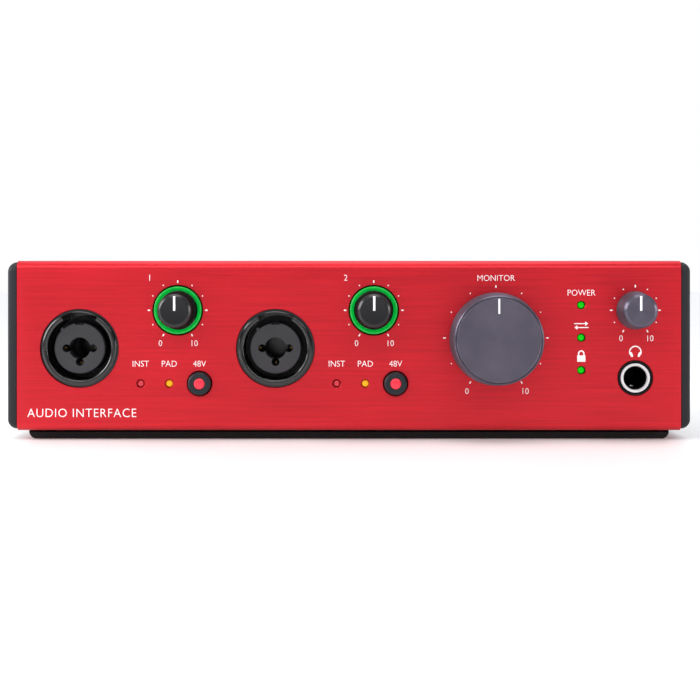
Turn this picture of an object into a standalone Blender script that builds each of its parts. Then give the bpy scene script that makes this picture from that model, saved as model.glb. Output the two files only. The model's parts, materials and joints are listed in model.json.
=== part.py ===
"""Desktop audio interface: two combination inputs, ringed gain knobs, a monitor knob and phones.

Metres, +Z up. The front faces -Y, and the origin is on the table, in the middle of the footprint.
A turned piece is drawn as (radius, height) pairs, with height measured outwards from its panel.
"""

from math import cos, pi, radians, sin

import bmesh
import bpy
from mathutils import Matrix, Vector

# Overall size
WIDTH = 0.210
DEPTH = 0.160
HEIGHT = 0.055
GAP = 0.0003

# Wrap-around shell
SHELL_WIDTH = 0.204
SHELL_WALL = 0.0018
SHELL_RADIUS = 0.0025
SHELL_BOTTOM = 0.0028
FRONT_Y = -0.0662
SHELL_BACK_Y = 0.0780
INNER_LOW = SHELL_BOTTOM + SHELL_WALL
INNER_HIGH = HEIGHT - SHELL_WALL

# Rear panel and the floor tray
PANEL_WALL = 0.0015
PANEL_Y = 0.0760
PANEL_HALF_WIDTH = 0.1000
FIT = 0.0004
TRAY_WALL = 0.0012
TRAY_HALF_WIDTH = 0.0992
TRAY_FRONT_Y = -0.0615
TRAY_BACK_Y = 0.0735
TRAY_BOTTOM = INNER_LOW + 0.0005
TRAY_SIDE_TOP = 0.0200
STUD_RADIUS = 0.0028

# Circuit boards
BOARD_THICKNESS = 0.0016
MAIN_BOARD_BOTTOM = 0.0094
MAIN_BOARD_TOP = MAIN_BOARD_BOTTOM + BOARD_THICKNESS
FRONT_BOARD_DEPTH = 0.0124
FRONT_BOARD_LOW = 0.0120
FRONT_BOARD_HIGH = 0.0500
BOARD_HALF_WIDTH = 0.0955

# Front panel layout: each channel is centred on its combination jack
CHANNEL_X = (-0.0828, -0.0226)
COMBO_Z = 0.0281
GAIN_OFFSET_X = 0.0302
GAIN_Z = 0.0398
LIGHT_Z = 0.0173
INST_OFFSET_X = 0.0188
PAD_OFFSET_X = 0.0276
PHANTOM_OFFSET_X = 0.0369
MONITOR_X, MONITOR_Z = 0.0451, 0.0310
PHONES_X = 0.0879
PHONES_KNOB_Z = GAIN_Z
PHONES_JACK_Z = 0.0190
STATUS_X = 0.0713
STATUS_Z = (0.0414, 0.0314, 0.0214)

# Combination jack
BEZEL_RADIUS = 0.01195
BEZEL_PROUD = 0.0006
COMBO_WIDTH = 0.0262
COMBO_HEIGHT = 0.0270
COMBO_DEPTH = 0.0330
XLR_RADIUS = 0.00985
XLR_DEPTH = 0.0180
INSERT_RADIUS = 0.00785
INSERT_DEPTH = 0.0150
JACK_BORE_RADIUS = 0.00325
PIN_RADIUS = 0.0012
PIN_CIRCLE = 0.0043
CONTACT_RADIUS = 0.0008

# Knobs, shafts and potentiometers
SMALL_KNOB_RADIUS = 0.0060
SMALL_KNOB_HEIGHT = 0.0122
MONITOR_KNOB_RADIUS = 0.0143
MONITOR_KNOB_HEIGHT = 0.0138
KNOB_LIFT = 0.0004
SHAFT_RADIUS = 0.0025
SHAFT_TAIL = 0.0086
BUSH_RADIUS = 0.0036
BUSH_HOLE_RADIUS = 0.0040
HALO_RADIUS = 0.0073
HALO_INNER_RADIUS = 0.00645
POT_FRONT_DEPTH = 0.0050

# Phantom power buttons
BUTTON_RADIUS = 0.00355
BUTTON_PROUD = 0.0023
LENS_RADIUS = 0.00165
BUTTON_TAIL = 0.0080
BUTTON_STEM_RADIUS = 0.0015

# Light pipes
PIPE_RADIUS = 0.0010
PIPE_HOLE_RADIUS = 0.0013

# Phones socket
COLLAR_RADIUS = 0.0055
SLEEVE_RADIUS = 0.0046

# Rear panel layout, and the connectors' sizes
REAR_Z = 0.0240
ROCKER_X, ROCKER_Z = 0.0840, 0.0290
DC_X, USB_X, OPTICAL_X = 0.0640, 0.0490, 0.0340
MIDI_X = {"midi_out_socket": 0.0130, "midi_in_socket": -0.0080}
LINE_X = (-0.0300, -0.0470, -0.0640, -0.0810)
LINE_THREAD_RADIUS = 0.0045
LINE_BODY_WIDTH = 0.0154
LINE_BODY_FRONT_Y = 0.0480
NUT_ACROSS_CORNERS_RADIUS = 0.0066
MIDI_RADIUS = 0.0075
DC_RADIUS = 0.0046
ROCKER_HALF_WIDTH = 0.0052
ROCKER_HALF_HEIGHT = 0.0082
ROCKER_TILT = radians(10)
ROCKER_PIVOT_Y = PANEL_Y - 0.0030
SHUTTER_SIZE = 0.0088
REAR_SCREW_X = (-0.0940, 0.0940)
REAR_SCREW_Z = 0.0450

# Feet
FOOT_HALF_WIDTH = 0.0990
FOOT_HEIGHT = 0.0025
FOOT_DEPTH = 0.0140
FRONT_FOOT_INSET = 0.0045
REAR_FOOT_INSET = 0.0080

UPRIGHT = Matrix.Identity(4)
FACING_FRONT = Matrix.Rotation(pi / 2, 4, "X")
FACING_BACK = Matrix.Rotation(-pi / 2, 4, "X")


def clear_scene():
    for obj in list(bpy.data.objects):
        bpy.data.objects.remove(obj, do_unlink=True)


def make_material(name, colour, roughness, metallic=0.0):
    material = bpy.data.materials.new(name)
    material.use_nodes = True
    shader = material.node_tree.nodes["Principled BSDF"]
    shader.inputs["Base Color"].default_value = (*colour, 1.0)
    shader.inputs["Roughness"].default_value = roughness
    shader.inputs["Metallic"].default_value = metallic
    return material


clear_scene()
parts = bpy.data.collections.new("audio_interface")
cutters = bpy.data.collections.new("cutters")
bpy.context.scene.collection.children.link(parts)
bpy.context.scene.collection.children.link(cutters)

RED_ANODISED = make_material("red_anodised", (0.62, 0.025, 0.038), 0.38, 0.9)
DARK_PLASTIC = make_material("dark_plastic", (0.042, 0.040, 0.046), 0.55)
BLACK_PLASTIC = make_material("black_plastic", (0.02, 0.02, 0.023), 0.45)
RUBBER = make_material("rubber", (0.02, 0.018, 0.019), 0.85)
BLACK_STEEL = make_material("black_steel", (0.03, 0.03, 0.032), 0.5, 0.6)
ZINC_STEEL = make_material("zinc_steel", (0.55, 0.55, 0.57), 0.4, 0.9)
NICKEL = make_material("nickel", (0.75, 0.74, 0.75), 0.18, 1.0)
GOLD = make_material("gold", (0.83, 0.58, 0.2), 0.25, 1.0)
GREY_METAL = make_material("grey_metal", (0.105, 0.097, 0.125), 0.35, 0.8)
BOARD = make_material("board", (0.02, 0.09, 0.04), 0.5)
GREEN_LIGHT = make_material("green_light", (0.0, 0.4, 0.06), 0.3)
CLEAR_PLASTIC = make_material("clear_plastic", (0.75, 0.77, 0.75), 0.15)
RED_LENS = make_material("red_lens", (0.9, 0.04, 0.08), 0.25)


def new_object(name, mesh, material=None):
    """An object in the parts' collection, or in the cutters' one when it has no material."""
    obj = bpy.data.objects.new(name, mesh)
    if material:
        mesh.materials.append(material)
        parts.objects.link(obj)
    else:
        cutters.objects.link(obj)
        obj.hide_render = True
        obj.display_type = "WIRE"
    return obj


def block(name, low, high, material=None):
    """A box between two corners given in world coordinates, with its origin at its middle."""
    low, high = Vector(low), Vector(high)
    mesh = bpy.data.meshes.new(name)
    cube = bmesh.new()
    bmesh.ops.create_cube(cube, size=1.0, matrix=Matrix.Diagonal((*(high - low), 1.0)))
    cube.to_mesh(mesh)
    cube.free()
    obj = new_object(name, mesh, material)
    obj.location = (low + high) / 2
    return obj


def turned(name, profile, centre, facing, material=None, steps=24, ring=False):
    """Turns a profile of (radius, height) pairs, listed from the top down its outer side."""
    mesh = bpy.data.meshes.new(name)
    edges = [(i, i + 1) for i in range(len(profile) - 1)]
    if ring:
        edges.append((len(profile) - 1, 0))
    mesh.from_pydata([(radius, 0.0, height) for radius, height in profile], edges, [])
    obj = new_object(name, mesh, material)
    obj.matrix_world = Matrix.Translation(centre) @ facing
    screw = obj.modifiers.new("Screw", "SCREW")
    screw.steps = steps
    screw.render_steps = steps
    screw.use_merge_vertices = True
    screw.merge_threshold = 1e-6
    screw.use_smooth_shade = False
    return obj


def drum(name, radius, low, high, centre, facing, material=None, steps=24):
    """A plain cylinder between two heights above the panel."""
    profile = [(0.0, high), (radius, high), (radius, low), (0.0, low)]
    return turned(name, profile, centre, facing, material, steps)


def boolean(obj, other, operation):
    modifier = obj.modifiers.new(operation.title(), "BOOLEAN")
    modifier.operation = operation
    modifier.solver = "EXACT"
    modifier.object = other
    return modifier


def cut(obj, *others):
    for other in others:
        boolean(obj, other, "DIFFERENCE")


def join(obj, *others):
    for other in others:
        boolean(obj, other, "UNION")


def bevel(obj, width, segments=2, angle=radians(40)):
    modifier = obj.modifiers.new("Bevel", "BEVEL")
    modifier.width = width
    modifier.segments = segments
    modifier.limit_method = "ANGLE"
    modifier.angle_limit = angle
    return modifier


def front_point(x, z):
    return Vector((x, FRONT_Y, z))


def rear_point(x, z):
    return Vector((x, PANEL_Y, z))


def arc(centre_y, centre_z, radius, start, end, steps=5):
    """Points on an arc in the YZ plane, from one angle to another, in degrees."""
    angles = [radians(start + (end - start) * i / steps) for i in range(steps + 1)]
    return [(centre_y + radius * cos(a), centre_z + radius * sin(a)) for a in angles]


def make_shell():
    """The wrap: base, front and top bent from one sheet, with the front's holes cut in it."""
    r = SHELL_RADIUS
    outline = [(SHELL_BACK_Y, SHELL_BOTTOM)]
    outline += arc(FRONT_Y + r, SHELL_BOTTOM + r, r, 270, 180)
    outline += arc(FRONT_Y + r, HEIGHT - r, r, 180, 90)
    outline += [(SHELL_BACK_Y, HEIGHT)]
    sheet = bmesh.new()
    half = SHELL_WIDTH / 2
    left = [sheet.verts.new((-half, y, z)) for y, z in outline]
    right = [sheet.verts.new((half, y, z)) for y, z in outline]
    for i in range(len(outline) - 1):
        sheet.faces.new((left[i], right[i], right[i + 1], left[i + 1]))
    mesh = bpy.data.meshes.new("outer_shell")
    sheet.to_mesh(mesh)
    sheet.free()
    shell = new_object("outer_shell", mesh, RED_ANODISED)
    solidify = shell.modifiers.new("Solidify", "SOLIDIFY")
    solidify.thickness = SHELL_WALL
    solidify.offset = -1.0
    solidify.use_even_offset = True
    holes = []

    def hole(label, radius, x, z, steps=24):
        centre = front_point(x, z)
        holes.append(drum("cut_" + label, radius, -0.004, 0.004, centre, FACING_FRONT, steps=steps))

    for n, x in enumerate(CHANNEL_X, 1):
        hole(f"combo_{n}", BEZEL_RADIUS + GAP, x, COMBO_Z, 32)
        hole(f"halo_{n}", HALO_RADIUS + GAP, x + GAIN_OFFSET_X, GAIN_Z)
        hole(f"inst_{n}", PIPE_HOLE_RADIUS, x + INST_OFFSET_X, LIGHT_Z, 12)
        hole(f"pad_{n}", PIPE_HOLE_RADIUS, x + PAD_OFFSET_X, LIGHT_Z, 12)
        hole(f"phantom_{n}", BUTTON_RADIUS + GAP, x + PHANTOM_OFFSET_X, LIGHT_Z)
    for n, z in enumerate(STATUS_Z, 1):
        hole(f"status_{n}", PIPE_HOLE_RADIUS, STATUS_X, z, 12)
    hole("monitor", BUSH_HOLE_RADIUS, MONITOR_X, MONITOR_Z, 16)
    hole("phones_pot", BUSH_HOLE_RADIUS, PHONES_X, PHONES_KNOB_Z, 16)
    hole("phones_jack", COLLAR_RADIUS + GAP, PHONES_X, PHONES_JACK_Z)
    cut(shell, *holes)


def side_block(name, side, near, far, low_y, high_y, low_z, high_z, material=None):
    """A box between two distances from the middle plane, on the left (-1) or on the right (1)."""
    low_x, high_x = sorted((side * near, side * far))
    return block(name, (low_x, low_y, low_z), (high_x, high_y, high_z), material)


def make_cheek(name, side):
    """A soft end cap: a rounded slab outside the shell, and a shallow rim that locates inside it."""
    inner = SHELL_WIDTH / 2 + GAP
    inset = FIT
    slab = side_block(
        name,
        side,
        inner,
        WIDTH / 2,
        FRONT_Y + inset,
        SHELL_BACK_Y,
        SHELL_BOTTOM + inset,
        HEIGHT - inset,
        DARK_PLASTIC,
    )
    bevel(slab, 0.0013, 3)
    rim_depth = 0.0020
    rim_width = 0.0035
    front_y = FRONT_Y + SHELL_WALL + inset
    back_y = PANEL_Y - PANEL_WALL - inset
    low_z = INNER_LOW + inset
    high_z = INNER_HIGH - inset
    overlap = 0.0008
    rim = side_block(
        "join_" + name, side, inner - rim_depth, inner + overlap, front_y, back_y, low_z, high_z
    )
    pocket = side_block(
        "cut_" + name,
        side,
        inner - 2 * rim_depth,
        inner,
        front_y + rim_width,
        back_y - rim_width,
        low_z + rim_width,
        high_z - rim_width,
    )
    cut(rim, pocket)
    join(slab, rim)


def make_foot(name, front_y):
    """A rubber strip across the underside."""
    foot = block(
        name,
        (-FOOT_HALF_WIDTH, front_y, 0.0),
        (FOOT_HALF_WIDTH, front_y + FOOT_DEPTH, FOOT_HEIGHT),
        RUBBER,
    )
    bevel(foot, 0.0008, 2)


def make_rear_panel():
    panel = block(
        "rear_panel",
        (-PANEL_HALF_WIDTH, PANEL_Y - PANEL_WALL, INNER_LOW + FIT),
        (PANEL_HALF_WIDTH, PANEL_Y, INNER_HIGH - FIT),
        BLACK_STEEL,
    )
    holes = []

    def round_hole(label, radius, x, z, steps=24):
        centre = rear_point(x, z)
        holes.append(drum("cut_" + label, radius, -0.005, 0.005, centre, FACING_BACK, steps=steps))

    def square_hole(label, width, height, x, z):
        low = (x - width / 2, PANEL_Y - 0.005, z - height / 2)
        high = (x + width / 2, PANEL_Y + 0.005, z + height / 2)
        holes.append(block("cut_" + label, low, high))

    for n, x in enumerate(LINE_X, 1):
        round_hole(f"line_{n}", LINE_THREAD_RADIUS + GAP, x, REAR_Z)
    for label, x in MIDI_X.items():
        round_hole(label, MIDI_RADIUS + GAP, x, REAR_Z)
    round_hole("dc", DC_RADIUS + GAP, DC_X, REAR_Z)
    square_hole("usb", 0.0097, 0.0040, USB_X, REAR_Z)
    square_hole("optical", 0.0112, 0.0112, OPTICAL_X, REAR_Z)
    square_hole("rocker", 0.0148, 0.0208, ROCKER_X, ROCKER_Z)
    for n, x in enumerate(REAR_SCREW_X, 1):
        round_hole(f"rear_screw_{n}", 0.0019, x, REAR_SCREW_Z, 12)
    cut(panel, *holes)


def make_rear_screws():
    for n, x in enumerate(REAR_SCREW_X, 1):
        profile = [(0.0, 0.0018), (0.0016, 0.0018), (0.0027, 0.0010), (0.0027, GAP)]
        profile += [(0.0015, GAP), (0.0015, -0.0055), (0.0, -0.0055)]
        centre = rear_point(x, REAR_SCREW_Z)
        turned(f"rear_screw_{n}", profile, centre, FACING_BACK, BLACK_STEEL, steps=16)


def make_tray():
    """Folded steel floor with two side walls, and studs that carry the main board."""
    outline = [(-TRAY_HALF_WIDTH, TRAY_SIDE_TOP), (-TRAY_HALF_WIDTH, TRAY_BOTTOM)]
    outline += [(TRAY_HALF_WIDTH, TRAY_BOTTOM), (TRAY_HALF_WIDTH, TRAY_SIDE_TOP)]
    sheet = bmesh.new()
    front = [sheet.verts.new((x, TRAY_FRONT_Y, z)) for x, z in outline]
    back = [sheet.verts.new((x, TRAY_BACK_Y, z)) for x, z in outline]
    for i in range(len(outline) - 1):
        sheet.faces.new((front[i], back[i], back[i + 1], front[i + 1]))
    mesh = bpy.data.meshes.new("chassis_tray")
    sheet.to_mesh(mesh)
    sheet.free()
    tray = new_object("chassis_tray", mesh, ZINC_STEEL)
    solidify = tray.modifiers.new("Solidify", "SOLIDIFY")
    solidify.thickness = TRAY_WALL
    solidify.offset = -1.0
    solidify.use_even_offset = True
    stud_places = [(x, y) for x in (-0.085, 0.085) for y in (-0.035, 0.060)]
    for n, (x, y) in enumerate(stud_places, 1):
        low = TRAY_BOTTOM + TRAY_WALL / 2
        high = MAIN_BOARD_BOTTOM - GAP
        foot = Vector((x, y, 0.0))
        join(tray, drum(f"join_stud_{n}", STUD_RADIUS, low, high, foot, UPRIGHT, steps=12))


def make_boards():
    block(
        "main_board",
        (-BOARD_HALF_WIDTH, FRONT_Y + 0.0147, MAIN_BOARD_BOTTOM),
        (BOARD_HALF_WIDTH, 0.0730, MAIN_BOARD_TOP),
        BOARD,
    )
    board_y = FRONT_Y + FRONT_BOARD_DEPTH
    front_board = block(
        "front_board",
        (-0.0976, board_y, FRONT_BOARD_LOW),
        (0.0976, board_y + BOARD_THICKNESS, FRONT_BOARD_HIGH),
        BOARD,
    )
    half_width = COMBO_WIDTH / 2 + 2 * GAP
    half_height = COMBO_HEIGHT / 2 + 2 * GAP
    for n, x in enumerate(CHANNEL_X, 1):
        opening = block(
            f"cut_board_combo_{n}",
            (x - half_width, board_y - 0.002, COMBO_Z - half_height),
            (x + half_width, board_y + 0.004, COMBO_Z + half_height),
        )
        cut(front_board, opening)
    jack_opening = block(
        "cut_board_phones",
        (PHONES_X - 0.0076, board_y - 0.002, FRONT_BOARD_LOW - 0.002),
        (PHONES_X + 0.0076, board_y + 0.004, PHONES_JACK_Z + 0.0081),
    )
    cut(front_board, jack_opening)
    link_y = board_y + BOARD_THICKNESS + GAP
    low = (0.0220, link_y, MAIN_BOARD_TOP + GAP)
    block("board_link", low, (0.0420, link_y + 0.0050, 0.0173), BLACK_PLASTIC)
    processor = block(
        "processor",
        (-0.0180, -0.0050, MAIN_BOARD_TOP + GAP),
        (-0.0020, 0.0110, MAIN_BOARD_TOP + GAP + 0.0022),
        BLACK_PLASTIC,
    )
    bevel(processor, 0.0004, 1)


def make_combo(n, x):
    """A combination jack: the housing with its round mouth, the insert in it, and its contacts."""
    make_combo_housing(n, x)
    make_combo_insert(n, x)


def make_combo_housing(n, x):
    centre = front_point(x, COMBO_Z)
    block_front = SHELL_WALL + FIT
    lip = 0.0008
    profile = [(0.0, BEZEL_PROUD), (BEZEL_RADIUS - lip, BEZEL_PROUD)]
    profile += [(BEZEL_RADIUS, BEZEL_PROUD - lip)]
    profile += [(BEZEL_RADIUS, -block_front - 0.001), (0.0, -block_front - 0.001)]
    housing = turned(f"combo_housing_{n}", profile, centre, FACING_FRONT, BLACK_PLASTIC, steps=32)
    body = block(
        f"join_combo_{n}",
        (x - COMBO_WIDTH / 2, FRONT_Y + block_front, COMBO_Z - COMBO_HEIGHT / 2),
        (x + COMBO_WIDTH / 2, FRONT_Y + COMBO_DEPTH, COMBO_Z + COMBO_HEIGHT / 2),
    )
    join(housing, body)
    mouth = drum(f"cut_xlr_{n}", XLR_RADIUS, -XLR_DEPTH, 0.003, centre, FACING_FRONT, steps=32)
    floor, top = -COMBO_DEPTH + 0.0015, -XLR_DEPTH + 0.001
    well = drum(f"cut_well_{n}", 0.0040, floor, top, centre, FACING_FRONT, steps=16)
    latch = block(
        f"cut_latch_{n}",
        (x - 0.0053, FRONT_Y - 0.003, COMBO_Z + 0.0070),
        (x + 0.0053, FRONT_Y + 0.006, COMBO_Z + 0.0109),
    )
    cut(housing, mouth, well, latch)


def make_combo_insert(n, x):
    centre = front_point(x, COMBO_Z)
    flange = XLR_RADIUS - 0.00035
    front, back = -0.0010, -INSERT_DEPTH
    profile = [(INSERT_RADIUS - 0.0004, front), (INSERT_RADIUS, front - 0.0004)]
    profile += [(INSERT_RADIUS, back + 0.002), (flange, back + 0.002), (flange, back)]
    profile += [(JACK_BORE_RADIUS, back), (JACK_BORE_RADIUS, front)]
    insert = turned(f"combo_insert_{n}", profile, centre, FACING_FRONT, BLACK_PLASTIC, ring=True)
    key = block(
        f"cut_key_{n}",
        (x - 0.0012, FRONT_Y - 0.001, COMBO_Z + INSERT_RADIUS - 0.0012),
        (x + 0.0012, FRONT_Y + 0.004, COMBO_Z + INSERT_RADIUS + 0.001),
    )
    cut(insert, key)

    back = -INSERT_DEPTH - GAP
    profile = [(0.0070, back), (0.0070, back - 0.002)]
    profile += [(JACK_BORE_RADIUS, back - 0.002), (JACK_BORE_RADIUS, back)]
    contacts = turned(f"combo_contacts_{n}", profile, centre, FACING_FRONT, GOLD, ring=True)
    for label, angle in (("left", 180), ("right", 0), ("low", 270)):
        radius = PIN_CIRCLE if label != "low" else PIN_CIRCLE + GAP
        place = centre + Vector((radius * cos(radians(angle)), 0.0, radius * sin(radians(angle))))
        hole = drum(f"cut_pin_{label}_{n}", PIN_RADIUS, -0.020, 0.001, place, FACING_FRONT, steps=12)
        cut(insert, hole)
        low, tip = back - 0.001, -0.0035
        pin = drum(f"join_pin_{label}_{n}", CONTACT_RADIUS, low, tip, place, FACING_FRONT, steps=8)
        join(contacts, pin)


def make_pot(name, centre, width, height, knob_height):
    """A potentiometer behind the panel, and the shaft that turns in its bush."""
    bush_low = -POT_FRONT_DEPTH - 0.001
    pot = drum(name, BUSH_RADIUS, bush_low, -GAP, centre, FACING_FRONT, BLACK_STEEL, 16)
    low = (centre.x - width / 2, centre.y + POT_FRONT_DEPTH, centre.z - height / 2)
    high = (centre.x + width / 2, centre.y + 0.0119, centre.z + height / 2)
    join(pot, block("join_" + name, low, high))
    bore = SHAFT_RADIUS + 0.00035
    cut(pot, drum("cut_" + name, bore, -SHAFT_TAIL - 0.0006, 0.002, centre, FACING_FRONT, steps=16))
    shaft = name.replace("_pot", "_shaft")
    shaft_top = knob_height - 0.0040
    drum(shaft, SHAFT_RADIUS, -SHAFT_TAIL, shaft_top, centre, FACING_FRONT, NICKEL, 16)


def make_knob(name, centre, radius, height, face_radius, material, steps):
    """A tapered cap with a rounded shoulder, bored from behind for its shaft."""
    shoulder = 0.17 * height
    edge = 0.0007
    socket = SHAFT_RADIUS + GAP
    socket_top = height - 0.0040 + GAP
    shoulder_radius = radius - 0.85 * (radius - face_radius)
    profile = [(0.0, height), (face_radius - edge, height), (face_radius, height - 0.4 * edge)]
    profile += [(shoulder_radius, height - shoulder), (radius, KNOB_LIFT + edge)]
    profile += [(radius, KNOB_LIFT), (socket, KNOB_LIFT), (socket, socket_top), (0.0, socket_top)]
    turned(name, profile, centre, FACING_FRONT, material, steps)


def make_small_knob(name, centre, material):
    make_knob(name, centre, SMALL_KNOB_RADIUS, SMALL_KNOB_HEIGHT, 0.0046, material, 24)


def make_front_controls():
    for n, x in enumerate(CHANNEL_X, 1):
        centre = front_point(x + GAIN_OFFSET_X, GAIN_Z)
        profile = [(HALO_RADIUS - 0.0002, 0.0005), (HALO_RADIUS, 0.0003), (HALO_RADIUS, -0.0022)]
        profile += [(0.0088, -0.0022), (0.0088, -0.0034)]
        profile += [(HALO_INNER_RADIUS, -0.0034), (HALO_INNER_RADIUS, 0.0005)]
        turned(f"halo_ring_{n}", profile, centre, FACING_FRONT, GREEN_LIGHT, ring=True)
        make_pot(f"gain_pot_{n}", centre, 0.0100, 0.0120, SMALL_KNOB_HEIGHT)
        make_small_knob(f"gain_knob_{n}", centre, BLACK_PLASTIC)
        make_phantom_button(n, x + PHANTOM_OFFSET_X)
        pins = [(x + INST_OFFSET_X, LIGHT_Z), (x + PAD_OFFSET_X, LIGHT_Z)]
        make_light_pipe(f"channel_light_pipe_{n}", pins, CLEAR_PLASTIC)
    centre = front_point(MONITOR_X, MONITOR_Z)
    make_pot("monitor_pot", centre, 0.0160, 0.0160, MONITOR_KNOB_HEIGHT)
    radius, height = MONITOR_KNOB_RADIUS, MONITOR_KNOB_HEIGHT
    make_knob("monitor_knob", centre, radius, height, 0.0129, GREY_METAL, 32)
    centre = front_point(PHONES_X, PHONES_KNOB_Z)
    make_pot("phones_pot", centre, 0.0100, 0.0120, SMALL_KNOB_HEIGHT)
    make_small_knob("phones_knob", centre, GREY_METAL)
    make_light_pipe("status_light_pipe", [(STATUS_X, z) for z in STATUS_Z], GREEN_LIGHT)


def make_phantom_button(n, x):
    """A round push button with a lit lens in its face, on the plunger of a small switch."""
    centre = front_point(x, LIGHT_Z)
    lens_floor = 0.0007
    lens_wall = LENS_RADIUS + GAP
    round_off = 0.0005
    profile = [(0.0, lens_floor), (lens_wall, lens_floor), (lens_wall, BUTTON_PROUD)]
    profile += [(BUTTON_RADIUS - round_off, BUTTON_PROUD), (BUTTON_RADIUS, BUTTON_PROUD - round_off)]
    profile += [(BUTTON_RADIUS, -0.004), (BUTTON_STEM_RADIUS, -0.004)]
    profile += [(BUTTON_STEM_RADIUS, -BUTTON_TAIL), (0.0, -BUTTON_TAIL)]
    turned(f"phantom_button_{n}", profile, centre, FACING_FRONT, DARK_PLASTIC)
    low, high = lens_floor + GAP, BUTTON_PROUD + 0.0001
    drum(f"phantom_lens_{n}", LENS_RADIUS, low, high, centre, FACING_FRONT, RED_LENS, 16)
    switch = block(
        f"phantom_switch_{n}",
        (x - 0.0035, FRONT_Y + 0.0065, LIGHT_Z - 0.0035),
        (x + 0.0035, FRONT_Y + 0.0121, LIGHT_Z + 0.0035),
        BLACK_PLASTIC,
    )
    bore = BUTTON_STEM_RADIUS + 0.00035
    cut(switch, drum(f"cut_plunger_{n}", bore, -0.0110, -0.005, centre, FACING_FRONT, steps=12))


def make_light_pipe(name, pins, material):
    """Clear pins from the board to the panel's small holes, moulded on one bar behind the panel."""
    half = 0.0013
    low = (min(x for x, _ in pins) - half, FRONT_Y + 0.0030, min(z for _, z in pins) - half)
    high = (max(x for x, _ in pins) + half, FRONT_Y + 0.0045, max(z for _, z in pins) + half)
    bar = block(name, low, high, material)
    for n, (x, z) in enumerate(pins, 1):
        centre = front_point(x, z)
        pin = drum(f"join_{name}_{n}", PIPE_RADIUS, -0.0120, -0.0002, centre, FACING_FRONT, steps=12)
        join(bar, pin)


def make_phones_socket():
    centre = front_point(PHONES_X, PHONES_JACK_Z)
    jack = drum("phones_jack", COLLAR_RADIUS, -0.0032, 0.0004, centre, FACING_FRONT, BLACK_PLASTIC)
    body = block(
        "join_phones",
        (PHONES_X - 0.0070, FRONT_Y + SHELL_WALL + FIT, PHONES_JACK_Z - 0.0075),
        (PHONES_X + 0.0070, FRONT_Y + 0.0290, PHONES_JACK_Z + 0.0075),
    )
    join(jack, body)
    cut(
        jack,
        drum("cut_phones_mouth", SLEEVE_RADIUS + GAP, -0.0085, 0.002, centre, FACING_FRONT),
        drum("cut_phones_bore", JACK_BORE_RADIUS, -0.0275, -0.008, centre, FACING_FRONT, steps=16),
    )
    profile = [(SLEEVE_RADIUS, 0.0001), (SLEEVE_RADIUS, -0.0080)]
    profile += [(JACK_BORE_RADIUS, -0.0080), (JACK_BORE_RADIUS, -0.0006), (0.0036, 0.0001)]
    turned("phones_jack_sleeve", profile, centre, FACING_FRONT, NICKEL, ring=True)


def make_line_jack(n, x):
    centre = rear_point(x, REAR_Z)
    thread_end = DEPTH / 2 - PANEL_Y
    radius = LINE_THREAD_RADIUS
    jack = drum(f"line_jack_{n}", radius, -0.0030, thread_end, centre, FACING_BACK, BLACK_PLASTIC)
    body = block(
        f"join_line_{n}",
        (x - LINE_BODY_WIDTH / 2, LINE_BODY_FRONT_Y, MAIN_BOARD_TOP + GAP),
        (x + LINE_BODY_WIDTH / 2, PANEL_Y - PANEL_WALL - GAP, 0.0330),
    )
    join(jack, body)
    bore = drum(f"cut_line_{n}", JACK_BORE_RADIUS, -0.0265, 0.006, centre, FACING_BACK, steps=16)
    cut(jack, bore)
    corners = NUT_ACROSS_CORNERS_RADIUS
    nut = drum(f"line_jack_nut_{n}", corners, GAP, 0.0028, centre, FACING_BACK, NICKEL, steps=6)
    cut(nut, drum(f"cut_nut_{n}", radius + GAP, -0.002, 0.006, centre, FACING_BACK))


def make_midi_socket(name, x):
    """A five-pin round socket: a metal-lined groove around a core with five holes."""
    centre = rear_point(x, REAR_Z)
    socket = drum(name, MIDI_RADIUS, -0.0030, 0.0004, centre, FACING_BACK, BLACK_PLASTIC)
    body = block(
        "join_" + name,
        (x - 0.0090, 0.0620, MAIN_BOARD_TOP + GAP),
        (x + 0.0090, PANEL_Y - PANEL_WALL - GAP, 0.0330),
    )
    join(socket, body)
    groove = [(0.0068, 0.002), (0.0068, -0.0070), (0.0057, -0.0070), (0.0057, 0.002)]
    cut(socket, turned("cut_groove_" + name, groove, centre, FACING_BACK, ring=True))
    pin_circle = 0.00375
    for pin in range(5):
        angle = radians(45 * pin)
        place = centre + Vector((pin_circle * cos(angle), 0.0, pin_circle * sin(angle)))
        hole = drum(f"cut_{name}_{pin}", 0.00075, -0.0080, 0.002, place, FACING_BACK, steps=6)
        cut(socket, hole)


def make_power_inlet():
    centre = rear_point(DC_X, REAR_Z)
    inlet = drum("dc_inlet", DC_RADIUS, -0.0030, 0.0006, centre, FACING_BACK, BLACK_PLASTIC)
    body = block(
        "join_dc",
        (DC_X - 0.0055, 0.0610, MAIN_BOARD_TOP + GAP),
        (DC_X + 0.0055, PANEL_Y - PANEL_WALL - GAP, 0.0300),
    )
    join(inlet, body)
    bore, pin = 0.0031, 0.0010
    mouth, pin_tip, floor = 0.002, -0.0006, -0.0100
    well = [(0.0, mouth), (bore, mouth), (bore, floor), (pin, floor), (pin, pin_tip), (0.0, pin_tip)]
    cut(inlet, turned("cut_dc_well", well, centre, FACING_BACK, steps=16))


def rear_block(name, x, z, half_width, half_height, low_y, high_y, material=None):
    """A box centred on a point of the rear panel, between two depths."""
    low = (x - half_width, low_y, z - half_height)
    return block(name, low, (x + half_width, high_y, z + half_height), material)


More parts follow.
